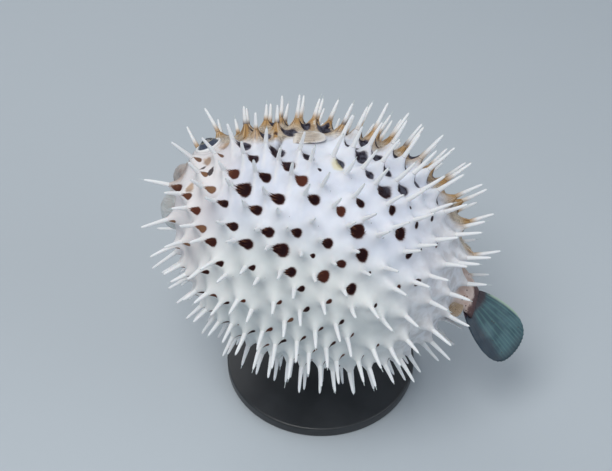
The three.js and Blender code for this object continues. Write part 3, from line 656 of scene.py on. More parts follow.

    # eyelids, painted shade in the creases and the tail's band
    colour = g.mix(g.math("MULTIPLY", ring, 0.95), colour, srgb(246, 246, 246))
    # painted shade: dark lines in the lid creases, nostrils, gill slits and the fold round the mouth
    colour = g.mix(g.math("MULTIPLY", painted_crease_shade, 0.85), colour, srgb(58, 40, 34))
    tail = g.mix(small, srgb(216, 198, 190), srgb(196, 170, 158))
    tail = g.mix(g.step(g.cells(place, 260.0), 0.20, 0.12), tail, srgb(84, 58, 60))
    colour = g.mix(g.step(band, 0.1, 0.5), colour, tail)
    torn = g.math("MULTIPLY", g.math("SUBTRACT", g.noise(place, 150.0, 4.0, 0.65), 0.5), 0.5)
    colour = g.mix(g.math("MULTIPLY", g.step(g.math("ADD", band, torn), 0.82, 0.98), 0.92), colour, g.mix(small, srgb(60, 38, 52), srgb(84, 60, 62)))

    # the sheathed spines: white, gilt at the foot on the back, with a thin grey point
    cream = g.mix(g.step(shaft, 0.0, 0.5), tuple(settings.spine_sheath) + (1,), srgb(248, 249, 250))
    cream = g.mix(g.step(shaft, 0.60, 0.72), cream, tuple(settings.spine_point) + (1,))
    rooted = g.mix(g.math("MULTIPLY", backness, 0.85), cream, gilt)
    cream = g.mix(g.step(shaft, 0.04, 0.26), rooted, cream)
    on_shaft = g.step(shaft, 0.001, 0.03)
    colour = g.mix(on_shaft, colour, cream)
    g.put(s["Base Color"], colour)

    wet = g.noise(place, 45.0, 2.0)
    rough = g.math("ADD", g.math("MULTIPLY", wet, 0.20), 0.38)
    g.put(s["Roughness"], g.math("ADD", rough, g.math("MULTIPLY", mask, 0.22)))
    fine = g.group("fine wrinkles", Place=place, Coarse=g.math("ADD", 0.35, g.math("MULTIPLY", backness, 0.9))).outputs[0]
    g.put(s["Normal"], g.bump(fine, 0.5, 0.0006))
    s["Subsurface Weight"].default_value = 0.07
    s["Subsurface Radius"].default_value = (1.0, 0.6, 0.45)
    s["Subsurface Scale"].default_value = 0.004
    s["Specular IOR Level"].default_value = 0.14
    return mat


def lip_material(name, colour_a, colour_b, settings):
    mat, g, s = new_material(name)
    place = g.place()
    soft = g.group("mottling", Place=place, Size=90.0).outputs[0]
    across, around, _ = g.attribute("lip_place")
    folds = g.noise(g.join(g.math("MULTIPLY", across, 9.0), g.math("MULTIPLY", around, 0.8), 0.0), 3.0, 3.0, 0.6)
    colour = g.mix(soft, colour_a, colour_b)
    # painted shade: the grooves between the lip folds are darkened
    colour = g.mix(g.math("MULTIPLY", g.step(folds, 0.6, 0.35), 0.28), colour, srgb(142, 124, 114))
    g.put(s["Base Color"], colour)
    fine = g.group("fine wrinkles", Place=place, Coarse=0.4).outputs[0]
    g.put(s["Normal"], g.bump(g.math("ADD", fine, g.math("MULTIPLY", folds, 1.6)), 0.5, 0.0007))
    g.put(s["Roughness"], g.math("ADD", 0.28, g.math("MULTIPLY", soft, 0.14)))
    s["Subsurface Weight"].default_value = 0.25
    s["Subsurface Radius"].default_value = (1.0, 0.5, 0.4)
    s["Subsurface Scale"].default_value = 0.004
    s["Coat Weight"].default_value = 0.2
    s["Coat Roughness"].default_value = 0.2
    return mat


def beak_material(settings):
    mat, g, s = new_material("tooth_plate")
    place = g.place()
    soft = g.group("mottling", Place=place, Size=220.0).outputs[0]
    lines = g.noise(place, 620.0, 2.0)
    colour = g.mix(soft, srgb(238, 230, 208), srgb(214, 198, 162))
    g.put(s["Base Color"], g.mix(g.math("MULTIPLY", lines, 0.3), colour, srgb(190, 168, 130)))
    g.put(s["Normal"], g.bump(lines, 0.3, 0.0003))
    g.put(s["Roughness"], g.math("ADD", 0.22, g.math("MULTIPLY", soft, 0.1)))
    return mat


def eye_material(settings):
    mat, g, s = new_material("eyeball")
    place = g.place()
    turn, spoke, _ = g.attribute("eye_place")
    speckle = g.noise(place, 700.0, 3.0, 0.6)
    rays = g.noise(g.join(g.math("MULTIPLY", spoke, 14.0), g.math("MULTIPLY", turn, 2.0), 0.0), 1.0, 3.0, 0.7)
    iris = g.mix(rays, tuple(settings.iris) + (1,), srgb(62, 72, 94))
    iris = g.mix(g.math("MULTIPLY", g.step(speckle, 0.58, 0.68), 0.5), iris, srgb(120, 130, 142))
    pupil = g.step(turn, 0.50, 0.44)
    colour = g.mix(pupil, iris, tuple(settings.pupil) + (1,))
    gold = g.math("MULTIPLY", g.step(turn, 0.46, 0.50), g.step(turn, 0.58, 0.53))
    colour = g.mix(g.math("MULTIPLY", gold, 0.55), colour, srgb(168, 160, 128))
    colour = g.mix(g.step(turn, 0.96, 1.04), colour, srgb(236, 238, 240))
    g.put(s["Base Color"], colour)
    g.put(s["Roughness"], g.math("ADD", 0.10, g.math("MULTIPLY", speckle, 0.08)))
    g.put(s["Normal"], g.bump(rays, 0.15, 0.0003))
    s["Coat Weight"].default_value = 1.0
    s["Coat Roughness"].default_value = 0.03
    s["Specular IOR Level"].default_value = 0.5
    return mat


def fin_material(name, settings, tail=False, pale=False):
    mat, g, s = new_material(name)
    place = g.place()
    u, t, ray = g.attribute("fin_place")
    soft = g.group("mottling", Place=place, Size=110.0).outputs[0]
    if tail:
        web = g.mix(soft, tuple(settings.tail_web) + (1,), srgb(36, 78, 90))
        rays_colour = srgb(78, 120, 122)
    else:
        web = g.mix(soft, tuple(settings.fin_web) + (1,), srgb(204, 184, 158))
        rays_colour = srgb(242, 238, 230)
    thin = g.step(g.noise(g.join(g.math("MULTIPLY", u, 34.0), g.math("MULTIPLY", t, 1.2), 0.0), 2.2, 3.0), 0.45, 0.62)
    colour = g.mix(g.math("MULTIPLY", g.step(ray, 0.35, 0.85), 0.75), web, rays_colour)
    if tail:
        colour = g.mix(g.math("MULTIPLY", thin, 0.35), colour, srgb(36, 62, 70))
        colour = g.mix(g.math("MULTIPLY", g.step(u, 0.84, 0.97), g.step(t, 0.1, 0.35)), colour, srgb(168, 190, 172))
        # darker toward the lower edge of the tail fin and toward the lower part of its tip
        ragged_across = g.math("ADD", u, g.math("MULTIPLY", g.math("SUBTRACT", g.noise(place, 60.0), 0.5), 0.4))
        colour = g.mix(g.math("MULTIPLY", g.step(ragged_across, -0.30, -0.58), 0.9), colour, srgb(20, 40, 60))
        colour = g.mix(g.math("MULTIPLY", g.math("MULTIPLY", g.step(t, 0.84, 0.98), g.step(u, 0.7, 0.2)), 0.7), colour, srgb(30, 50, 64))
        edge = g.math("ADD", t, g.math("MULTIPLY", g.math("SUBTRACT", g.noise(place, 160.0), 0.5), 0.12))
        colour = g.mix(g.step(edge, 0.20, 0.11), colour, srgb(50, 34, 46))
    else:
        colour = g.mix(g.math("MULTIPLY", thin, 0.85), colour, srgb(116, 90, 70))
        colour = g.mix(g.math("MULTIPLY", g.step(ray, 0.30, 0.02), 0.55), colour, srgb(128, 100, 76))
        colour = g.mix(g.step(t, 0.22, 0.05), colour, srgb(228, 218, 206))
        if pale:
            colour = g.mix(g.math("ADD", 0.12, g.step(t, 0.75, 1.0, 0.0, 0.5)), colour, srgb(240, 238, 238))
        else:
            colour = g.mix(g.math("MULTIPLY", soft, 0.6), colour, srgb(158, 130, 92))
    specks = g.step(g.cells(place, 210.0), 0.17, 0.11)
    colour = g.mix(g.math("MULTIPLY", specks, 0.7), colour, srgb(48, 36, 36))
    g.put(s["Base Color"], colour)
    g.put(s["Roughness"], g.math("ADD", 0.30, g.math("MULTIPLY", soft, 0.15)))
    fine = g.group("fine wrinkles", Place=place, Coarse=0.5).outputs[0]
    g.put(s["Normal"], g.bump(g.math("ADD", fine, ray), 0.35, 0.0004))
    s["Subsurface Weight"].default_value = 0.35
    s["Subsurface Radius"].default_value = (1.0, 0.9, 0.8)
    s["Subsurface Scale"].default_value = 0.002
    s["Coat Weight"].default_value = 0.15
    return mat


def base_material(settings):
    mat, g, s = new_material("stand_paint")
    place = g.place()
    peel = g.noise(place, 420.0, 2.0)
    wide = g.group("mottling", Place=place, Size=30.0).outputs[0]
    g.put(s["Base Color"], g.mix(wide, tuple(settings.paint) + (1,), srgb(50, 52, 55)))
    g.put(s["Roughness"], g.math("ADD", 0.36, g.math("MULTIPLY", wide, 0.08)))
    g.put(s["Normal"], g.bump(peel, 0.12, 0.0003))
    s["Coat Weight"].default_value = 0.15
    s["Coat Roughness"].default_value = 0.3
    return mat


def rod_material(settings):
    mat, g, s = new_material("stand_steel")
    place = g.place()
    stretched = g.node("ShaderNodeMapping")
    stretched.inputs["Scale"].default_value = (1.0, 1.0, 14.0)
    g.put(stretched.inputs["Vector"], place)
    brushed = g.noise(stretched.outputs[0], 260.0, 4.0, 0.7)
    g.put(s["Base Color"], g.mix(brushed, tuple(settings.steel) + (1,), srgb(170, 172, 174)))
    g.put(s["Roughness"], g.math("ADD", 0.22, g.math("MULTIPLY", brushed, 0.2)))
    g.put(s["Normal"], g.bump(brushed, 0.15, 0.0002))
    s["Metallic"].default_value = 1.0
    return mat


def floor_material(settings):
    mat, g, s = new_material("plain_floor")
    place = g.place()
    soft = g.noise(place, 3.0, 3.0)
    g.put(s["Base Color"], g.mix(soft, tuple(settings.floor_colour) + (1,), tuple(c * 0.97 for c in settings.floor_colour) + (1,)))
    s["Roughness"].default_value = 0.8
    return mat


# =====================================================================
# pieces
# =====================================================================
def finish_piece(bm, name, material, nodes):
    """Turns a finished bmesh, already in metres, into a piece that rides on the body and stands for its CAD nodes."""
    mesh = bpy.data.meshes.new(name)
    bm.to_mesh(mesh)
    bm.free()
    for polygon in mesh.polygons:
        polygon.use_smooth = True
    mesh.materials.append(material)
    piece = bpy.data.objects.new(name, mesh)
    bpy.context.scene.collection.objects.link(piece)
    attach(piece, "root")
    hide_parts(*nodes)
    return piece


def add_vectors(mesh, name, domain, values):
    layer = mesh.attributes.new(name, "FLOAT_VECTOR", domain)
    layer.data.foreach_set("vector", np.ascontiguousarray(values, np.float32).ravel())


RING_RADII = (1.9, 2.4, 3.1, 4.1, 5.4, 7.0)
RING_COUNTS = (8, 8, 10, 12, 14, 18)


def even_ways(count, most=None):
    """Evenly spread ways over a sphere, most of them only within an angle of the nose."""
    i = np.arange(count) + 0.5
    x = 1 - 2 * i / count
    a = i * math.pi * (3 - math.sqrt(5))
    r = np.sqrt(1 - x * x)
    w = np.stack([x, r * np.cos(a), r * np.sin(a)], 1)
    return w if most is None else w[x > math.cos(most)]


def ring_of(spot, side, up, radius, count, shift=0.0):
    a = (np.arange(count) + shift) * 2 * math.pi / count
    return spot + radius * (np.cos(a)[:, None] * side + np.sin(a)[:, None] * up)


def skin_points():
    """Corners of the skin before it is drawn out: rings round each spine and eye, and an even fill between them."""
    points, owner, ring = [], [], []

    def add(p, who=-1, level=-1):
        p = np.atleast_2d(p)
        points.append(p)
        owner.extend([who] * len(p))
        ring.extend([level] * len(p))

    for j, s in enumerate(SPINES):
        for level, (radius, count) in enumerate(zip(RING_RADII, RING_COUNTS)):
            p = ring_of(s["root"], s["side"], s["along"], radius, count, s["turn"] * count / (2 * math.pi) + (level % 2) * 0.5)
            if level >= 3:
                away = np.linalg.norm(p[:, None] - ROOTS[None], axis=2)
                away[:, j] = 1e9
                p = p[away.min(1) > radius + 0.4]
            if len(p):
                add(p, j, level)
    eye_radii = (0.01, 3, 5.5, 7, 7.9, 8.5, 9.0, 9.5, 10.0, 10.5, 11.0, 11.6, 12.2, 12.8, 13.5, 14.2, 15, 16)
    for spot, out in zip(EYE_SPOTS, EYE_OUTS):
        side = unit(np.cross([0, 0, 1.0], out))
        up = np.cross(out, side)
        for k, radius in enumerate(eye_radii):
            add(ring_of(spot, side, up, radius, 1 if radius < 1 else max(10, int(radius * 5.2)), (k % 2) * 0.5))
    for k, x in enumerate(np.arange(-109.5, STALK_END, -1.5)):
        a = (np.arange(30) + (k % 2) * 0.5) * 2 * math.pi / 30
        r = section_radius(np.full(30, x), a)
        add(np.stack([np.full(30, x), r * np.cos(a), r * np.sin(a)], 1))
    a = np.arange(30) * 2 * math.pi / 30
    rim = section_radius(np.full(30, STALK_END + 0.05), a)
    for share in (1.0, 0.8, 0.5, 0.2):
        add(np.stack([np.full(30, STALK_END + 0.05), share * rim * np.cos(a), share * rim * np.sin(a)], 1))
    held = np.concatenate(points)
    held_ways = unit(held)

    fill = np.concatenate([even_ways(30000), even_ways(76000, 42 * DEG)])
    face = fill[:, 0] > math.cos(42 * DEG)
    fill = fill[~face | (np.arange(len(fill)) >= 30000)]
    tail_way = unit(bend_stalk([-1.0, 0, 0]))
    p = on_skin(fill)
    keep = np.linalg.norm(p[:, None] - ROOTS[None], axis=2).min(1) > RING_RADII[-1] + 0.7
    for spot in EYE_SPOTS:
        keep &= np.linalg.norm(p - spot, axis=1) > 16.8
    keep &= ~((p[:, 0] < -107) & (np.hypot(p[:, 1], p[:, 2]) < 30))
    add(p[keep])
    points = np.concatenate(points)
    ways = unit(points)
    stalk = points[:, 0] < -107
    stalk &= np.hypot(points[:, 1], points[:, 2]) < 31
    on = on_skin(ways)
    on[stalk] = points[stalk]
    return on, np.array(owner), np.array(ring)


def tent_height(j, reach_share=1.0):
    s = SPINES[j]
    up = math.degrees(math.atan2(s["root"][2], s["root"][1]))
    taller = 1.0 + 0.55 * float(smooth_step(5, 45, up) * smooth_step(175, 135, up)) * (s["root"][0] < 60)
    return taller * (0.9 + 0.2 * hash_share(s["number"], 7))


def displace(points, settings):
    """Draws the skin up round each spine."""
    tall = np.array([tent_height(j) for j in range(len(SPINES))]) * settings.tent_height
    lengths = np.array([s["length"] for s in SPINES])
    tall = np.minimum(tall, lengths * 0.5)
    moved = points.copy()
    tent = np.zeros(len(points))
    for first in range(0, len(points), 4000):
        part = slice(first, first + 4000)
        away = np.linalg.norm(points[part, None] - ROOTS[None], axis=2)
        lift = np.maximum(0, 1 - away / settings.tent_reach) ** settings.tent_curve
        moved[part] += (lift * tall) @ AIMS
        tent[part] = np.exp(-away.min(1) / 3.6)
    return moved, tent


def stretched_folds(points):
    """Height of the taut folds of skin that run from the spines of the upper flank toward the belly."""
    height = np.zeros(len(points))
    for s in SPINES:
        x, y, z = s["root"]
        angle = math.degrees(math.atan2(z, abs(y)))
        share = float(smooth_step(8, 30, x) * smooth_step(98, 86, x) * smooth_step(-30, -12, angle) * smooth_step(44, 26, angle))
        if share < 0.05:
            continue
        down = s["side"] * (-1 if s["side"][2] > 0 else 1) + 0.12 * s["along"]
        off = points - s["root"]
        run = off @ down
        fold = np.exp(-(((off @ s["along"]) + 0.12 * run) / FOLD_HALF_WIDTH) ** 2) * smooth_step(FOLD_LENGTH, 4, run) * smooth_step(-3, 1, run)
        near = np.linalg.norm(off, axis=1) < FOLD_LENGTH * 1.2
        height = np.maximum(height, np.where(near, fold * FOLD_HEIGHT * share, 0))
    return height


def eye_folds(points, normals):
    shift = np.zeros(len(points))
    ring = np.zeros(len(points))
    # dark: painted shade in the lid creases round the eyes, in the nostrils, in the gill slits and in the fold round
    # the mouth
    dark = np.zeros(len(points))
    for spot, out in zip(EYE_SPOTS, EYE_OUTS):
        off = points - spot
        near = np.linalg.norm(off, axis=1) < 24
        d = np.linalg.norm(off - np.outer(off @ out, out), axis=1)
        lift = 1.7 * np.exp(-((d - 9.7) / 0.95) ** 2) + 0.75 * np.exp(-((d - 12.3) / 0.75) ** 2) + 0.5 * np.exp(-((d - 14.6) / 0.8) ** 2)
        lift -= 6.0 * smooth_step(8.6, 6.8, d) + 0.35 * np.exp(-((d - 11.1) / 0.5) ** 2)
        shift += np.where(near, lift, 0)
        ring = np.maximum(ring, np.where(near, np.exp(-((d - 9.6) / 1.15) ** 2), 0))
        dark = np.maximum(dark, np.where(near, 0.30 * np.exp(-((d - 11.1) / 0.45) ** 2) + 0.22 * np.exp(-((d - 13.5) / 0.5) ** 2), 0))
    # nostrils, one short open tube on each side of the snout, with painted shade in the opening
    for sign in (1, -1):
        spot = on_skin([NOSTRIL[0] + HEAD_TURN * sign * NOSTRIL[1], sign * NOSTRIL[1], NOSTRIL[2]])[0]
        d = np.linalg.norm(points - spot, axis=1)
        shift += 1.9 * np.exp(-((d - 2.0) / 1.2) ** 2) - 1.0 * np.exp(-(d / 1.0) ** 2)
        dark = np.maximum(dark, 0.9 * np.exp(-(d / 1.1) ** 2))
        ring = np.maximum(ring, 0.25 * np.exp(-((d - 2.2) / 1.2) ** 2))
    # gill slits ahead of the pectoral fins, with painted shade along the slit
    for sign in (1, -1):
        a = np.arctan2(points[:, 2], points[:, 1] * sign)
        run = points[:, 0] - GILL_X - 3.0 * np.cos((a - 0.25) * 3)
        here = np.exp(-((a - 0.25) / 0.17) ** 4) * (points[:, 1] * sign > 0)
        shift += here * (-2.2 * np.exp(-(run / 1.3) ** 2) + 1.1 * np.exp(-((run - 3.2) / 1.8) ** 2))
        dark = np.maximum(dark, 0.9 * here * np.exp(-(run / 1.1) ** 2))
    # folds round the mouth, with a line of painted shade in one of them
    mouth = np.array([LIP_X, MOUTH_Y, MOUTH_Z])
    off = points - mouth
    ahead = points[:, 0] > 85
    d = np.hypot(off[:, 1] / 1.25, off[:, 2])
    shift += np.where(ahead, 1.3 * np.exp(-((d - 22.5) / 2.0) ** 2) + 0.7 * np.exp(-((d - 28) / 1.6) ** 2), 0)
    dark = np.maximum(dark, np.where(ahead, 0.22 * np.exp(-((d - 25.5) / 0.9) ** 2), 0))
    return normals * shift[:, None], ring, dark


def back_share(p):
    """0 on the pale belly and flanks, 1 on the brown back."""
    angle = np.degrees(np.arctan2(p[:, 2], np.abs(p[:, 1])))
    cheek = smooth_step(28, 62, p[:, 0])
    rear = smooth_step(-66, -100, p[:, 0])
    low = 20 - 13 * cheek + 3 * smooth_step(92, 104, p[:, 0]) - 15 * rear
    high = 46 - 20 * cheek + 8 * smooth_step(92, 104, p[:, 0]) - 14 * rear
    share = np.clip((angle - low) / (high - low), 0, 1)
    return np.maximum(share, np.where(p[:, 0] > 108, smooth_step(9, 24, p[:, 2]), 0))


def spot_table():
    """Middle, ways and half sizes of the dark spot behind every spine."""
    table = []
    for s in SPINES:
        x, y, z = s["root"]
        angle = math.degrees(math.atan2(z, abs(y)))
        size = 6.3 * (1 - 0.58 * float(smooth_step(-44, -58, angle))) * (1 - 0.30 * float(smooth_step(55, 92, x)))
        size *= 1 - 0.28 * float(smooth_step(-20, -60, x)) - 0.12 * float(smooth_step(-60, -100, x))
        size *= 0.68 + 0.50 * hash_share(s["number"], 11)
        size *= 1 - 0.45 * float(smooth_step(50, 80, angle))
        tone = 0.05 + 0.55 * hash_share(s["number"], 12) ** 2.2 + 0.5 * float(smooth_step(72, 98, x))
        tone += 0.25 * float(smooth_step(-44, -58, angle))
        tone *= 1 - 0.75 * float(smooth_step(-4, 12, angle) * smooth_step(88, 72, x))
        if min(math.dist((x, abs(y), z), spot) for spot in MARK_SPOTS[:3]) < 12:
            size, tone = size * 0.45, 0.9
        half = size * (0.80 + 0.35 * hash_share(s["number"], 13))
        table.append([s["root"] - s["along"] * (1.9 + size), -s["along"], s["side"], size, half, min(tone, 0.98)])
    # on the flanks and belly some spines have only a speck behind them, or nothing
    kept = []
    for k in sorted(range(len(table)), key=lambda n: hash_share(SPINES[n]["number"], 14)):
        root = SPINES[k]["root"]
        crowded = any(np.linalg.norm(table[k][0] - table[n][0]) < SPOT_LEAST_SPACING for n in kept)
        if crowded and root[0] < 62 and math.atan2(root[2], abs(root[1])) < 20 * DEG:
            share = 0.3 if hash_share(SPINES[k]["number"], 15) < 0.3 else 0.001
            table[k][3] *= share
            table[k][4] *= share
        else:
            kept.append(k)
    return table


SHAFT_LEVELS = 11


def shaft_profile(share):
    """(share of the free length, radius) up one spine: a blunt sheath, then a thin point."""
    return ((0.04, 1.88), (0.12, 1.82), (0.26, 1.70), (0.44, 1.46), (share - 0.16, 1.14), (share - 0.05, 0.84), (share - 0.006, 0.60),
            (share + 0.015, 0.36), ((share + 1) / 2, 0.30), (0.985, 0.22), (1.0, 0.10))


def build_skin(settings):
    points, owner, ring = skin_points()
    q = points / np.linalg.norm(points, axis=1, keepdims=True)
    flat = q[:, 1:] / np.maximum(1 + q[:, :1], 1e-7)
    found = delaunay_2d_cdt([Vector(p) for p in flat.tolist()], [], [], 0, 1e-9, True)
    origin = [o[0] if o else -1 for o in found[3]]
    normals = skin_normal(points)
    moved, tent = displace(points, settings)
    # dark holds the painted shade of the creases round the eyes, nostrils, gills and mouth
    folds, lid, dark = eye_folds(points, normals)
    taut = stretched_folds(points)
    # the taut folds get the same painted highlight as the tents
    tent = np.maximum(tent, 0.9 * taut / FOLD_HEIGHT)
    final = bend_stalk(moved + folds + normals * taut[:, None])

    bm = bmesh.new()
    place_layer = bm.verts.layers.float_vector.new("fish_place")
    zone_layer = bm.verts.layers.float_vector.new("zone")
    mark_layer = bm.verts.layers.float_vector.new("marks")
    number = bm.faces.layers.int.new("cap")
    back = back_share(points)
    # the pinkish tail stalk and the dark band at its end
    tail = smooth_step(-106, -121, points[:, 0]) * (np.hypot(points[:, 1], points[:, 2]) < 34)
    tail = np.where(tail > 0, tail * 0.7 + 0.3 * smooth_step(-122, -131, points[:, 0]), 0)
    verts = []
    for k in range(len(points)):
        v = bm.verts.new(final[k])
        v[place_layer] = points[k]
        v[zone_layer] = (back[k], 0.0, tent[k])
        # marks: white lid ring, painted crease shade, tail band
        v[mark_layer] = (lid[k], dark[k], tail[k])
        verts.append(v)
    cap_ring = {}
    for k in np.nonzero(ring == 0)[0]:
        cap_ring.setdefault(int(owner[k]), []).append(verts[k])
    lowest = ring == 0
    for face in found[2]:
        a, b, c = (origin[i] for i in face)
        if min(a, b, c) < 0 or len({a, b, c}) < 3:
            continue
        if lowest[a] and lowest[b] and lowest[c] and owner[a] == owner[b] == owner[c]:
            continue
        bm.faces.new((verts[a], verts[b], verts[c]))
    caps = []
    for j, corners in cap_ring.items():
        caps.append((j, bm.faces.new(corners)))
    bmesh.ops.holes_fill(bm, edges=[e for e in bm.edges if e.is_boundary], sides=0)
    bmesh.ops.recalc_face_normals(bm, faces=bm.faces)

    # draw the spines out of their caps, ring by ring
    for j, cap in caps:
        SPINES[j]["centre"] = cap.calc_center_median()
    for j, cap in caps:
        cap[number] = j + 1
    cap_faces = [cap for _, cap in caps]
    for level in range(SHAFT_LEVELS):
        made = bmesh.ops.extrude_discrete_faces(bm, faces=cap_faces)
        cap_faces = [f for f in made["faces"] if len(f.verts) == RING_COUNTS[0] and f[number] > 0]
        for f in cap_faces:
            j = f[number] - 1
            s = SPINES[j]
            bare = max(0.0, (hash_share(s["number"], 6) - 0.55) / 0.45)
            sheath = 0.962 - (0.962 - settings.sheath_share) * 1.6 * bare
            share, radius = shaft_profile(sheath)[level]
            middle = np.array(s["centre"])
            root = bend_stalk(s["root"])
            start = (middle - root) @ s["aim"]
            sway = s["side"] * (hash_share(s["number"], 8) - 0.5) + s["along"] * (hash_share(s["number"], 9) - 0.5)
            centre = middle * (1 - share) + (root + s["aim"] * start) * share + s["aim"] * (s["length"] - start) * share
            centre = centre + sway * 3.2 * (share - share * share)
            for k, v in enumerate(f.verts):
                way = np.array(v[place_layer]) - s["root"]
                way = unit(way - s["aim"] * (way @ s["aim"]))
                v.co = centre + way * radius
                v[zone_layer] = (v[zone_layer][0], 0.04 + 0.96 * share if level else 0.035, 1.0)
                if share > sheath:
                    v[zone_layer] = (v[zone_layer][0], 0.75 + 0.25 * share, 1.0)
                elif level:
                    v[zone_layer] = (v[zone_layer][0], 0.04 + 0.55 * share / sheath, 1.0)
                v[place_layer] = s["root"] + way * RING_RADII[0] * (1 - (level + 1) / (SHAFT_LEVELS + 1))
    for v in bm.verts:
        v.co = Vector(to_stand(v.co))
    bmesh.ops.triangulate(bm, faces=[f for f in bm.faces if len(f.verts) > 4])
    mesh_info = np.array([v[place_layer] for v in bm.verts])
    shaft = np.array([v[zone_layer][1] for v in bm.verts])
    piece = finish_piece(bm, "puffer_skin", skin_material(bpy.context.scene.puffer_colours), ["head", "trunk", "tail_stalk"])
    mesh = piece.data

    # spots and the unwrap are laid on each face corner
    corners = np.zeros(len(mesh.loops), int)
    mesh.loops.foreach_get("vertex_index", corners)
    starts = np.zeros(len(mesh.polygons), int)
    counts = np.zeros(len(mesh.polygons), int)
    mesh.polygons.foreach_get("loop_start", starts)
    mesh.polygons.foreach_get("loop_total", counts)
    face_of = np.repeat(np.arange(len(mesh.polygons)), counts)
    where = mesh_info[corners]
    middle = np.zeros((len(mesh.polygons), 3))
    np.add.at(middle, face_of, where)
    middle /= counts[:, None]
    table = spot_table()
    centres = np.array([t[0] for t in table])
    nearest = np.zeros(len(middle), int)
    for first in range(0, len(middle), 4000):
        part = slice(first, first + 4000)
        nearest[part] = np.linalg.norm(middle[part, None] - centres[None], axis=2).argmin(1)
    which = nearest[face_of]
    tail_way = np.array([t[1] for t in table])[which]
    side_way = np.array([t[2] for t in table])[which]
    size = np.array([t[3] for t in table])[which]
    half = np.array([t[4] for t in table])[which]
    tone = np.array([t[5] for t in table])[which]
    off = where - centres[which]
    u = (off * tail_way).sum(1) / size
    v = (off * side_way).sum(1) / half
    on_shaft = (shaft[corners] > 0)
    u = np.where(on_shaft, 4.0, np.clip(u, -4, 4))
    v = np.where(on_shaft, 4.0, np.clip(v, -4, 4))
    add_vectors(mesh, "spot", "CORNER", np.stack([u, v, tone], 1))
    ways = unit(where)
    upper = (middle[:, 2] > 0)[face_of]
    height = np.where(upper, ways[:, 2], -ways[:, 2])
    reach = np.sqrt(np.maximum(1 - height, 0))
    across = unit(ways[:, :2] + 1e-9)
    uv = across * (reach * 0.233)[:, None]
    uv[:, 1] *= np.where(upper, 1, -1)
    uv += np.where(upper[:, None], [0.25, 0.5], [0.75, 0.5])
    layer = mesh.uv_layers.new(name="OFBake")
    layer.data.foreach_set("uv", uv.astype(np.float32).ravel())
    mesh.attributes.remove(mesh.attributes["cap"])
    return piece


def build_eyes():
    """Two glossy eyeballs set under the skin's lids."""
    for name, spot, out in (("eye_left", EYE_SPOTS[0], EYE_OUTS[0]), ("eye_right", EYE_SPOTS[1], EYE_OUTS[1])):
        bm = bmesh.new()
        bmesh.ops.create_uvsphere(bm, u_segments=64, v_segments=40, radius=EYE_RADIUS)
        axis = Vector(out)
        turn = axis.to_track_quat("Z", "Y").to_matrix()
        places = []
        for v in bm.verts:
            angle = v.co.angle(Vector((0, 0, 1)), 0.0)
            spoke = math.atan2(v.co.y, v.co.x)
            cornea = 0.55 * math.exp(-(angle / 0.55) ** 2)
            v.co *= 1 + cornea / EYE_RADIUS
            places.append((angle, abs(spoke), 0))
            centre = spot - out * EYE_CENTRE_SINK
            v.co = Vector(to_stand(np.array(turn @ v.co) + centre))
        bmesh.ops.recalc_face_normals(bm, faces=bm.faces)
        material = bpy.data.materials.get("eyeball") or eye_material(bpy.context.scene.puffer_colours)
        piece = finish_piece(bm, "puffer_" + name, material, [name])
        add_vectors(piece.data, "eye_place", "POINT", places)


def turn_mouth(p):
    """The whole mouth looks the way the face is turned."""
    p = np.array(p, float)
    a = -math.atan(HEAD_TURN)
    x, y = p[:, 0] - LIP_X, p[:, 1].copy()
    p[:, 0] = LIP_X + x * math.cos(a) - y * math.sin(a)
    p[:, 1] = x * math.sin(a) + y * math.cos(a) + MOUTH_Y
    return p


def build_lips():
    """Two fat pads round the mouth, thin at the corners."""
    colours = bpy.context.scene.puffer_colours
    for name, sign, tones in (("upper_lip", 1, (srgb(192, 184, 178), srgb(158, 146, 140))), ("lower_lip", -1, (srgb(216, 219, 218), srgb(192, 194, 192)))):
        bm = bmesh.new()
        stations = 58
        bmesh.ops.create_uvsphere(bm, u_segments=24, v_segments=stations, radius=1.0)
        places = []
        for v in bm.verts:
            down = v.co.angle(Vector((0, 0, 1)), 0.0) / math.pi * stations
            share = min(max((down - 1) / (stations - 2), 0.0), 1.0)
            around = math.atan2(v.co.y, v.co.x)
            u = (share - 0.5) * math.pi * 0.98
            pole = down < 0.5 or down > stations - 0.5
            r = 0.0 if pole else LIP_THIN + (LIP_THICK - LIP_THIN) * math.cos(u) ** 0.6
            r *= (1 - 0.10 * math.exp(-((u / 0.35) ** 2))) * (1 + 0.022 * math.sin(u * 21 + 0.7 * sign) * (1 + math.sin(around)) / 2)
            p = np.array([LIP_X - 6 * math.sin(u) ** 2, LIP_HALF_WIDTH * math.sin(u), MOUTH_Z + sign * (LIP_CORNER + LIP_RISE * math.cos(u))])
            p = p + r * math.cos(around) * np.array([0, math.sin(u), sign * math.cos(u)]) + [r * 1.1 * math.sin(around), 0, 0]
            p[2] = sign * max(sign * (p[2] - MOUTH_Z), GAP / 2) + MOUTH_Z
            v.co = Vector(to_stand(turn_mouth([p]))[0])
            places.append((u, math.sin(around), 0))
        bmesh.ops.recalc_face_normals(bm, faces=bm.faces)
        piece = finish_piece(bm, "puffer_" + name, lip_material(name + "_skin", *tones, colours), [name])
        add_vectors(piece.data, "lip_place", "POINT", places)


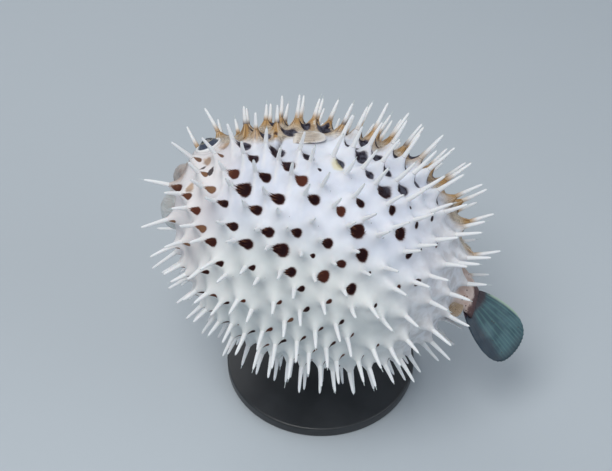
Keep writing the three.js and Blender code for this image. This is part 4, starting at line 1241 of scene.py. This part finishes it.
def build_beak():
    """The two fused tooth plates that just show between the lips."""
    for name, sign in (("upper_beak", 1), ("lower_beak", -1)):
        bm = bmesh.new()
        bmesh.ops.create_uvsphere(bm, u_segments=48, v_segments=32, radius=1.0)
        bmesh.ops.scale(bm, verts=bm.verts, vec=BEAK_SIZE)
        bmesh.ops.translate(bm, verts=bm.verts, vec=(LIP_X - 3.5, 0, MOUTH_Z))
        cut = bmesh.ops.bisect_plane(bm, geom=bm.verts[:] + bm.edges[:] + bm.faces[:], plane_co=(0, 0, MOUTH_Z + sign * BEAK_SPLIT / 2),
                                     plane_no=(0, 0, -sign), clear_outer=True)
        bmesh.ops.holes_fill(bm, edges=[e for e in cut["geom_cut"] if isinstance(e, bmesh.types.BMEdge)], sides=0)
        where = to_stand(turn_mouth([v.co for v in bm.verts]))
        for v, p in zip(bm.verts, where):
            v.co = Vector(p)
        bmesh.ops.recalc_face_normals(bm, faces=bm.faces)
        material = bpy.data.materials.get("tooth_plate") or beak_material(bpy.context.scene.puffer_colours)
        finish_piece(bm, "puffer_" + name, material, [name])


def build_fin(name, fin, spot, aim, wide, hand, rays, columns, rows):
    """A fan of soft rays with a thin web between them."""
    bm = bmesh.new()
    bmesh.ops.create_grid(bm, x_segments=columns, y_segments=rows, size=1.0)
    x, y, z = fin_basis(aim, wide)
    sink = 5 if name == "caudal_fin" else FIN_SINK
    origin = spot - aim * sink
    info = {}
    for v in bm.verts:
        u, t = v.co.x, (v.co.y + 1) / 2
        info[v.index] = (u, t)
    layer = bm.verts.layers.float_vector.new("fin_place")
    for v in bm.verts:
        u, t = v.co.x, (v.co.y + 1) / 2
        stem = 0.5 + 0.5 * math.cos(2 * math.pi * (u + 1) / 2 * (rays - 1))
        forked = 0.5 + 0.5 * math.cos(4 * math.pi * (u + 1) / 2 * (rays - 1))
        fork = float(smooth_step(0.45, 0.75, t))
        v[layer] = (u, t, (stem * (1 - fork) + forked * fork) ** 1.5)
    made = bmesh.ops.extrude_face_region(bm, geom=bm.faces[:])
    second = {v for v in made["geom"] if isinstance(v, bmesh.types.BMVert)}
    for v in bm.verts:
        u, t, ray = v[layer]
        turn = u * fin["spread"] / 2 * DEG * ray_curve(t)
        rim = 1 - 0.24 * u ** 4 - 0.10 * u * u - (0.007 if name == "caudal_fin" else 0.035) * (1 - ray) * t
        reach = fin["length"] * rim
        thick = max(0.28, fin["thick"] / 2 * (0.55 + 0.45 * ray) * (1 - 0.45 * t))
        rib = 0.12 * math.sin(u * math.pi * rays) * t * (1 - t)
        off = hand * fin["cup"] * t * t * (1 - u * u) + rib + (thick if v in second else -thick)
        p = origin + x * reach * t * math.cos(turn) + y * off + z * (u * fin["base"] / 2 + reach * t * math.sin(turn))
        v.co = Vector(to_stand(p))
    bmesh.ops.recalc_face_normals(bm, faces=bm.faces)
    tail = name == "caudal_fin"
    side = name.startswith("pectoral")
    label = "tail_fin_skin" if tail else "side_fin_skin" if side else "fin_skin"
    material = bpy.data.materials.get(label) or fin_material(label, bpy.context.scene.puffer_colours, tail, side)
    finish_piece(bm, "puffer_" + name, material, [name])


def turned_piece(name, profile, material, slot, steps=128):
    """A lathe turning about the stand's upright axis, from (radius, height) pairs in metres."""
    bm = bmesh.new()
    line = [bm.verts.new((r, 0, h)) for r, h in profile]
    edges = [bm.edges.new(pair) for pair in zip(line, line[1:])]
    bmesh.ops.spin(bm, geom=line + edges, cent=(0, 0, 0), axis=(0, 0, 1), angle=2 * math.pi, steps=steps, use_merge=True)
    bmesh.ops.remove_doubles(bm, verts=bm.verts, dist=1e-6)
    bmesh.ops.recalc_face_normals(bm, faces=bm.faces)
    return bm


def rounded(line, radius, segments=5):
    """Rounds each inner corner of a profile."""
    out = [line[0]]
    for a, b, c in zip(line, line[1:], line[2:]):
        a, b, c = Vector(a), Vector(b), Vector(c)
        r = min(radius, (a - b).length * 0.45, (c - b).length * 0.45)
        p, q = b + (a - b).normalized() * r, b + (c - b).normalized() * r
        for k in range(segments + 1):
            t = k / segments
            out.append(tuple(p.lerp(b, t).lerp(b.lerp(q, t), t)))
    return out + [line[-1]]


def build_stand(settings):
    colours = bpy.context.scene.puffer_colours
    low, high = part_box("stand_base")
    rod_low, rod_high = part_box("stand_rod")
    radius, top = (high.x - low.x) / 2, high.z
    rod = (rod_high.x - rod_low.x) / 2
    hole, floor = rod + GAP * MM, rod_low.z - GAP * MM
    line = [(0, 0), (radius, 0), (radius, top), (hole, top), (hole, floor), (0, floor)]
    profile = rounded(line, settings.edge_round)
    bm = turned_piece("base", profile, None, None)
    finish_piece(bm, "stand_base_disc", base_material(colours), ["stand_base"])
    line = [(0, rod_low.z), (rod, rod_low.z), (rod, rod_high.z), (0, rod_high.z)]
    bm = turned_piece("rod", rounded(line, settings.edge_round / 2), None, None, 48)
    finish_piece(bm, "stand_rod_steel", rod_material(colours), ["stand_rod"])


def area_light(name, place, aim, size, power, colour):
    data = bpy.data.lights.new(name, "AREA")
    data.shape = "DISK"
    data.size = size
    data.energy = power
    data.color = colour
    lamp = bpy.data.objects.new(name, data)
    lamp.location = place
    lamp.rotation_euler = (Vector(aim) - Vector(place)).to_track_quat("-Z", "Y").to_euler()
    bpy.context.scene.collection.objects.link(lamp)


def build_stage(settings):
    colours = bpy.context.scene.puffer_colours
    bpy.context.scene.view_settings.view_transform = "Standard"
    bm = bmesh.new()
    bmesh.ops.create_grid(bm, x_segments=8, y_segments=8, size=4.0)
    mesh = bpy.data.meshes.new("floor")
    bm.to_mesh(mesh)
    bm.free()
    floor = bpy.data.objects.new("floor", mesh)
    mesh.materials.append(floor_material(colours))
    bpy.context.scene.collection.objects.link(floor)
    ball = Vector((0, 0, BALL_HEIGHT * MM))
    area_light("key_light", (-0.35, -0.55, 1.55), ball, 0.9, settings.key_power, (1.0, 0.99, 0.97))
    area_light("side_light", (1.3, -0.5, 0.9), ball, 1.0, settings.fill_power, (0.90, 0.95, 1.0))
    area_light("rear_light", (-0.6, 1.2, 1.1), ball, 0.9, settings.fill_power, (1.0, 0.98, 0.95))
    world = bpy.data.worlds.new("soft_room")
    world.use_nodes = True
    sky = world.node_tree.nodes["Background"].inputs
    sky["Color"].default_value = (0.82, 0.90, 1.0, 1)
    sky["Strength"].default_value = settings.room_light
    bpy.context.scene.world = world
    back = Vector((0, -math.cos(settings.camera_up), math.sin(settings.camera_up)))
    up = Vector((0, math.sin(settings.camera_up), math.cos(settings.camera_up)))
    data = bpy.data.cameras.new("view")
    data.lens = settings.camera_lens
    data.sensor_width = 36.0
    data.clip_start = 0.05
    camera = bpy.data.objects.new("view", data)
    camera.location = ball + back * settings.camera_distance + Vector((settings.camera_right, 0, 0)) + up * settings.camera_raise
    camera.rotation_euler = (math.pi / 2 - settings.camera_up, 0, 0)
    bpy.context.scene.collection.objects.link(camera)
    bpy.context.scene.camera = camera


# =====================================================================
# sizes, operators and panel
# =====================================================================
def colour_property(label, hint, rgb):
    return FloatVectorProperty(name=label, description=hint, subtype="COLOR", size=3, min=0, max=1, default=srgb(*rgb)[:3])


class PufferColours(bpy.types.PropertyGroup):
    pale_skin: colour_property("Pale skin", "Belly and flanks", (236, 239, 248))
    back_skin: colour_property("Back skin", "Brown of the back", (204, 188, 166))
    back_tent: colour_property("Back spine bases", "Raised skin round the spines of the back", (186, 148, 98))
    spot_dark: colour_property("Dark spots", "Most of the spots", (30, 3, 8))
    spot_brown: colour_property("Brown spots", "Lighter spots and the rims of the dark ones", (88, 46, 34))
    spine_sheath: colour_property("Spine sheath", "Skin over the spines", (246, 246, 246))
    spine_point: colour_property("Spine point", "Bare points of the spines", (204, 212, 212))
    iris: colour_property("Iris", "Ring round the pupil", (46, 54, 72))
    pupil: colour_property("Pupil", "Middle of the eye", (18, 22, 32))
    fin_web: colour_property("Fin web", "Between the rays of the small fins", (222, 208, 188))
    tail_web: colour_property("Tail web", "Between the rays of the tail fin", (54, 100, 110))
    paint: colour_property("Stand paint", "Base of the stand", (40, 42, 45))
    steel: colour_property("Stand steel", "Rod of the stand", (148, 150, 152))
    floor_colour: colour_property("Floor", "Plain floor under the stand", (196, 204, 210))


class PufferSkin(bpy.types.PropertyGroup):
    tent_height: FloatProperty(name="Tent height", description="How high the skin is drawn up round a spine, mm", default=12.0, min=0, max=20)
    tent_reach: FloatProperty(name="Tent reach", description="How far from the spine the skin is drawn up, mm", default=15.0, min=4, max=25)
    tent_curve: FloatProperty(name="Tent curve", description="How hollow the sides of the raised skin are", default=3.2, min=1, max=6)
    sheath_share: FloatProperty(name="Sheath share", description="Share of a spine's length that is covered by skin", default=0.84, min=0.4, max=0.9, subtype="FACTOR")


class PufferFins(bpy.types.PropertyGroup):
    ray_count: IntProperty(name="Rays", description="Rays in each small fin", default=13, min=5, max=24)
    tail_ray_count: IntProperty(name="Tail rays", description="Rays in the tail fin", default=10, min=5, max=24)


class PufferStand(bpy.types.PropertyGroup):
    edge_round: FloatProperty(name="Edge round", description="Rounding of the stand's edges", default=0.002, min=0.0002, max=0.004, unit="LENGTH")


class PufferStage(bpy.types.PropertyGroup):
    key_power: FloatProperty(name="Key light", description="Power of the large light overhead, W", default=12.3, min=0, max=500)
    fill_power: FloatProperty(name="Fill lights", description="Power of the side and rear lights, W", default=3.2, min=0, max=500)
    room_light: FloatProperty(name="Room light", description="Strength of the even light from all round", default=0.375, min=0, max=3)
    camera_up: FloatProperty(name="Camera elevation", description="Height angle of the camera", default=45 * DEG, subtype="ANGLE")
    camera_distance: FloatProperty(name="Camera distance", description="From the middle of the ball", default=1.0, min=0.3, unit="LENGTH")
    camera_lens: FloatProperty(name="Lens", description="Focal length, mm", default=73.5, min=20, max=200)
    camera_right: FloatProperty(name="Camera shift right", description="Sideways place of the camera", default=-0.0128, unit="LENGTH")
    camera_raise: FloatProperty(name="Camera raise", description="Place of the camera along its own up", default=0.0036, unit="LENGTH")


class PUFFER_OT_skin(bpy.types.Operator):
    """Builds the skin of head, trunk and tail stalk with its spines drawn out of it"""
    bl_idname = "puffer.skin"
    bl_label = "Skin and spines"

    def execute(self, context):
        build_skin(context.scene.puffer_skin)
        return {"FINISHED"}


class PUFFER_OT_eyes(bpy.types.Operator):
    """Builds both eyeballs"""
    bl_idname = "puffer.eyes"
    bl_label = "Eyes"

    def execute(self, context):
        build_eyes()
        return {"FINISHED"}


class PUFFER_OT_mouth(bpy.types.Operator):
    """Builds the lips and the two tooth plates"""
    bl_idname = "puffer.mouth"
    bl_label = "Lips and beak"

    def execute(self, context):
        build_lips()
        build_beak()
        return {"FINISHED"}


class PUFFER_OT_fins(bpy.types.Operator):
    """Builds the five fins"""
    bl_idname = "puffer.fins"
    bl_label = "Fins"

    def execute(self, context):
        s = context.scene.puffer_fins
        for name, (fin, spot, aim, wide, hand) in fin_places().items():
            tail = name == "caudal_fin"
            build_fin(name, fin, spot, aim, wide, hand, s.tail_ray_count if tail else s.ray_count, 144, 30 if tail else 20)
        return {"FINISHED"}


class PUFFER_OT_stand(bpy.types.Operator):
    """Builds the base disc and the rod of the stand"""
    bl_idname = "puffer.stand"
    bl_label = "Display stand"

    def execute(self, context):
        build_stand(context.scene.puffer_stand)
        return {"FINISHED"}


class PUFFER_OT_stage(bpy.types.Operator):
    """Lays the floor, the lights and the camera"""
    bl_idname = "puffer.stage"
    bl_label = "Stage"

    def execute(self, context):
        build_stage(context.scene.puffer_stage)
        return {"FINISHED"}


OPERATORS = (PUFFER_OT_skin, PUFFER_OT_eyes, PUFFER_OT_mouth, PUFFER_OT_fins, PUFFER_OT_stand, PUFFER_OT_stage)
GROUPS = (("puffer_colours", PufferColours), ("puffer_skin", PufferSkin), ("puffer_fins", PufferFins),
          ("puffer_stand", PufferStand), ("puffer_stage", PufferStage))


class PUFFER_PT_panel(bpy.types.Panel):
    """Lists the model's pieces with their sizes and colours"""
    bl_label = "Porcupine pufferfish"
    bl_idname = "PUFFER_PT_panel"
    bl_space_type = "VIEW_3D"
    bl_region_type = "UI"
    bl_category = "Pufferfish"

    def draw(self, context):
        for operator in OPERATORS:
            self.layout.operator(operator.bl_idname)
        for name, kind in GROUPS:
            box = self.layout.box()
            for key in kind.__annotations__:
                box.prop(getattr(context.scene, name), key)


def register():
    for name, kind in GROUPS:
        bpy.utils.register_class(kind)
        setattr(bpy.types.Scene, name, PointerProperty(type=kind))
    for kind in OPERATORS + (PUFFER_PT_panel,):
        bpy.utils.register_class(kind)


def unregister():
    for kind in reversed(OPERATORS + (PUFFER_PT_panel,)):
        bpy.utils.unregister_class(kind)
    for name, kind in reversed(GROUPS):
        delattr(bpy.types.Scene, name)
        bpy.utils.unregister_class(kind)


def main():
    register()
    bpy.ops.puffer.skin()
    bpy.ops.puffer.eyes()
    bpy.ops.puffer.mouth()
    bpy.ops.puffer.fins()
    bpy.ops.puffer.stand()
    bpy.ops.puffer.stage()


if __name__ == "__main__":
    main()
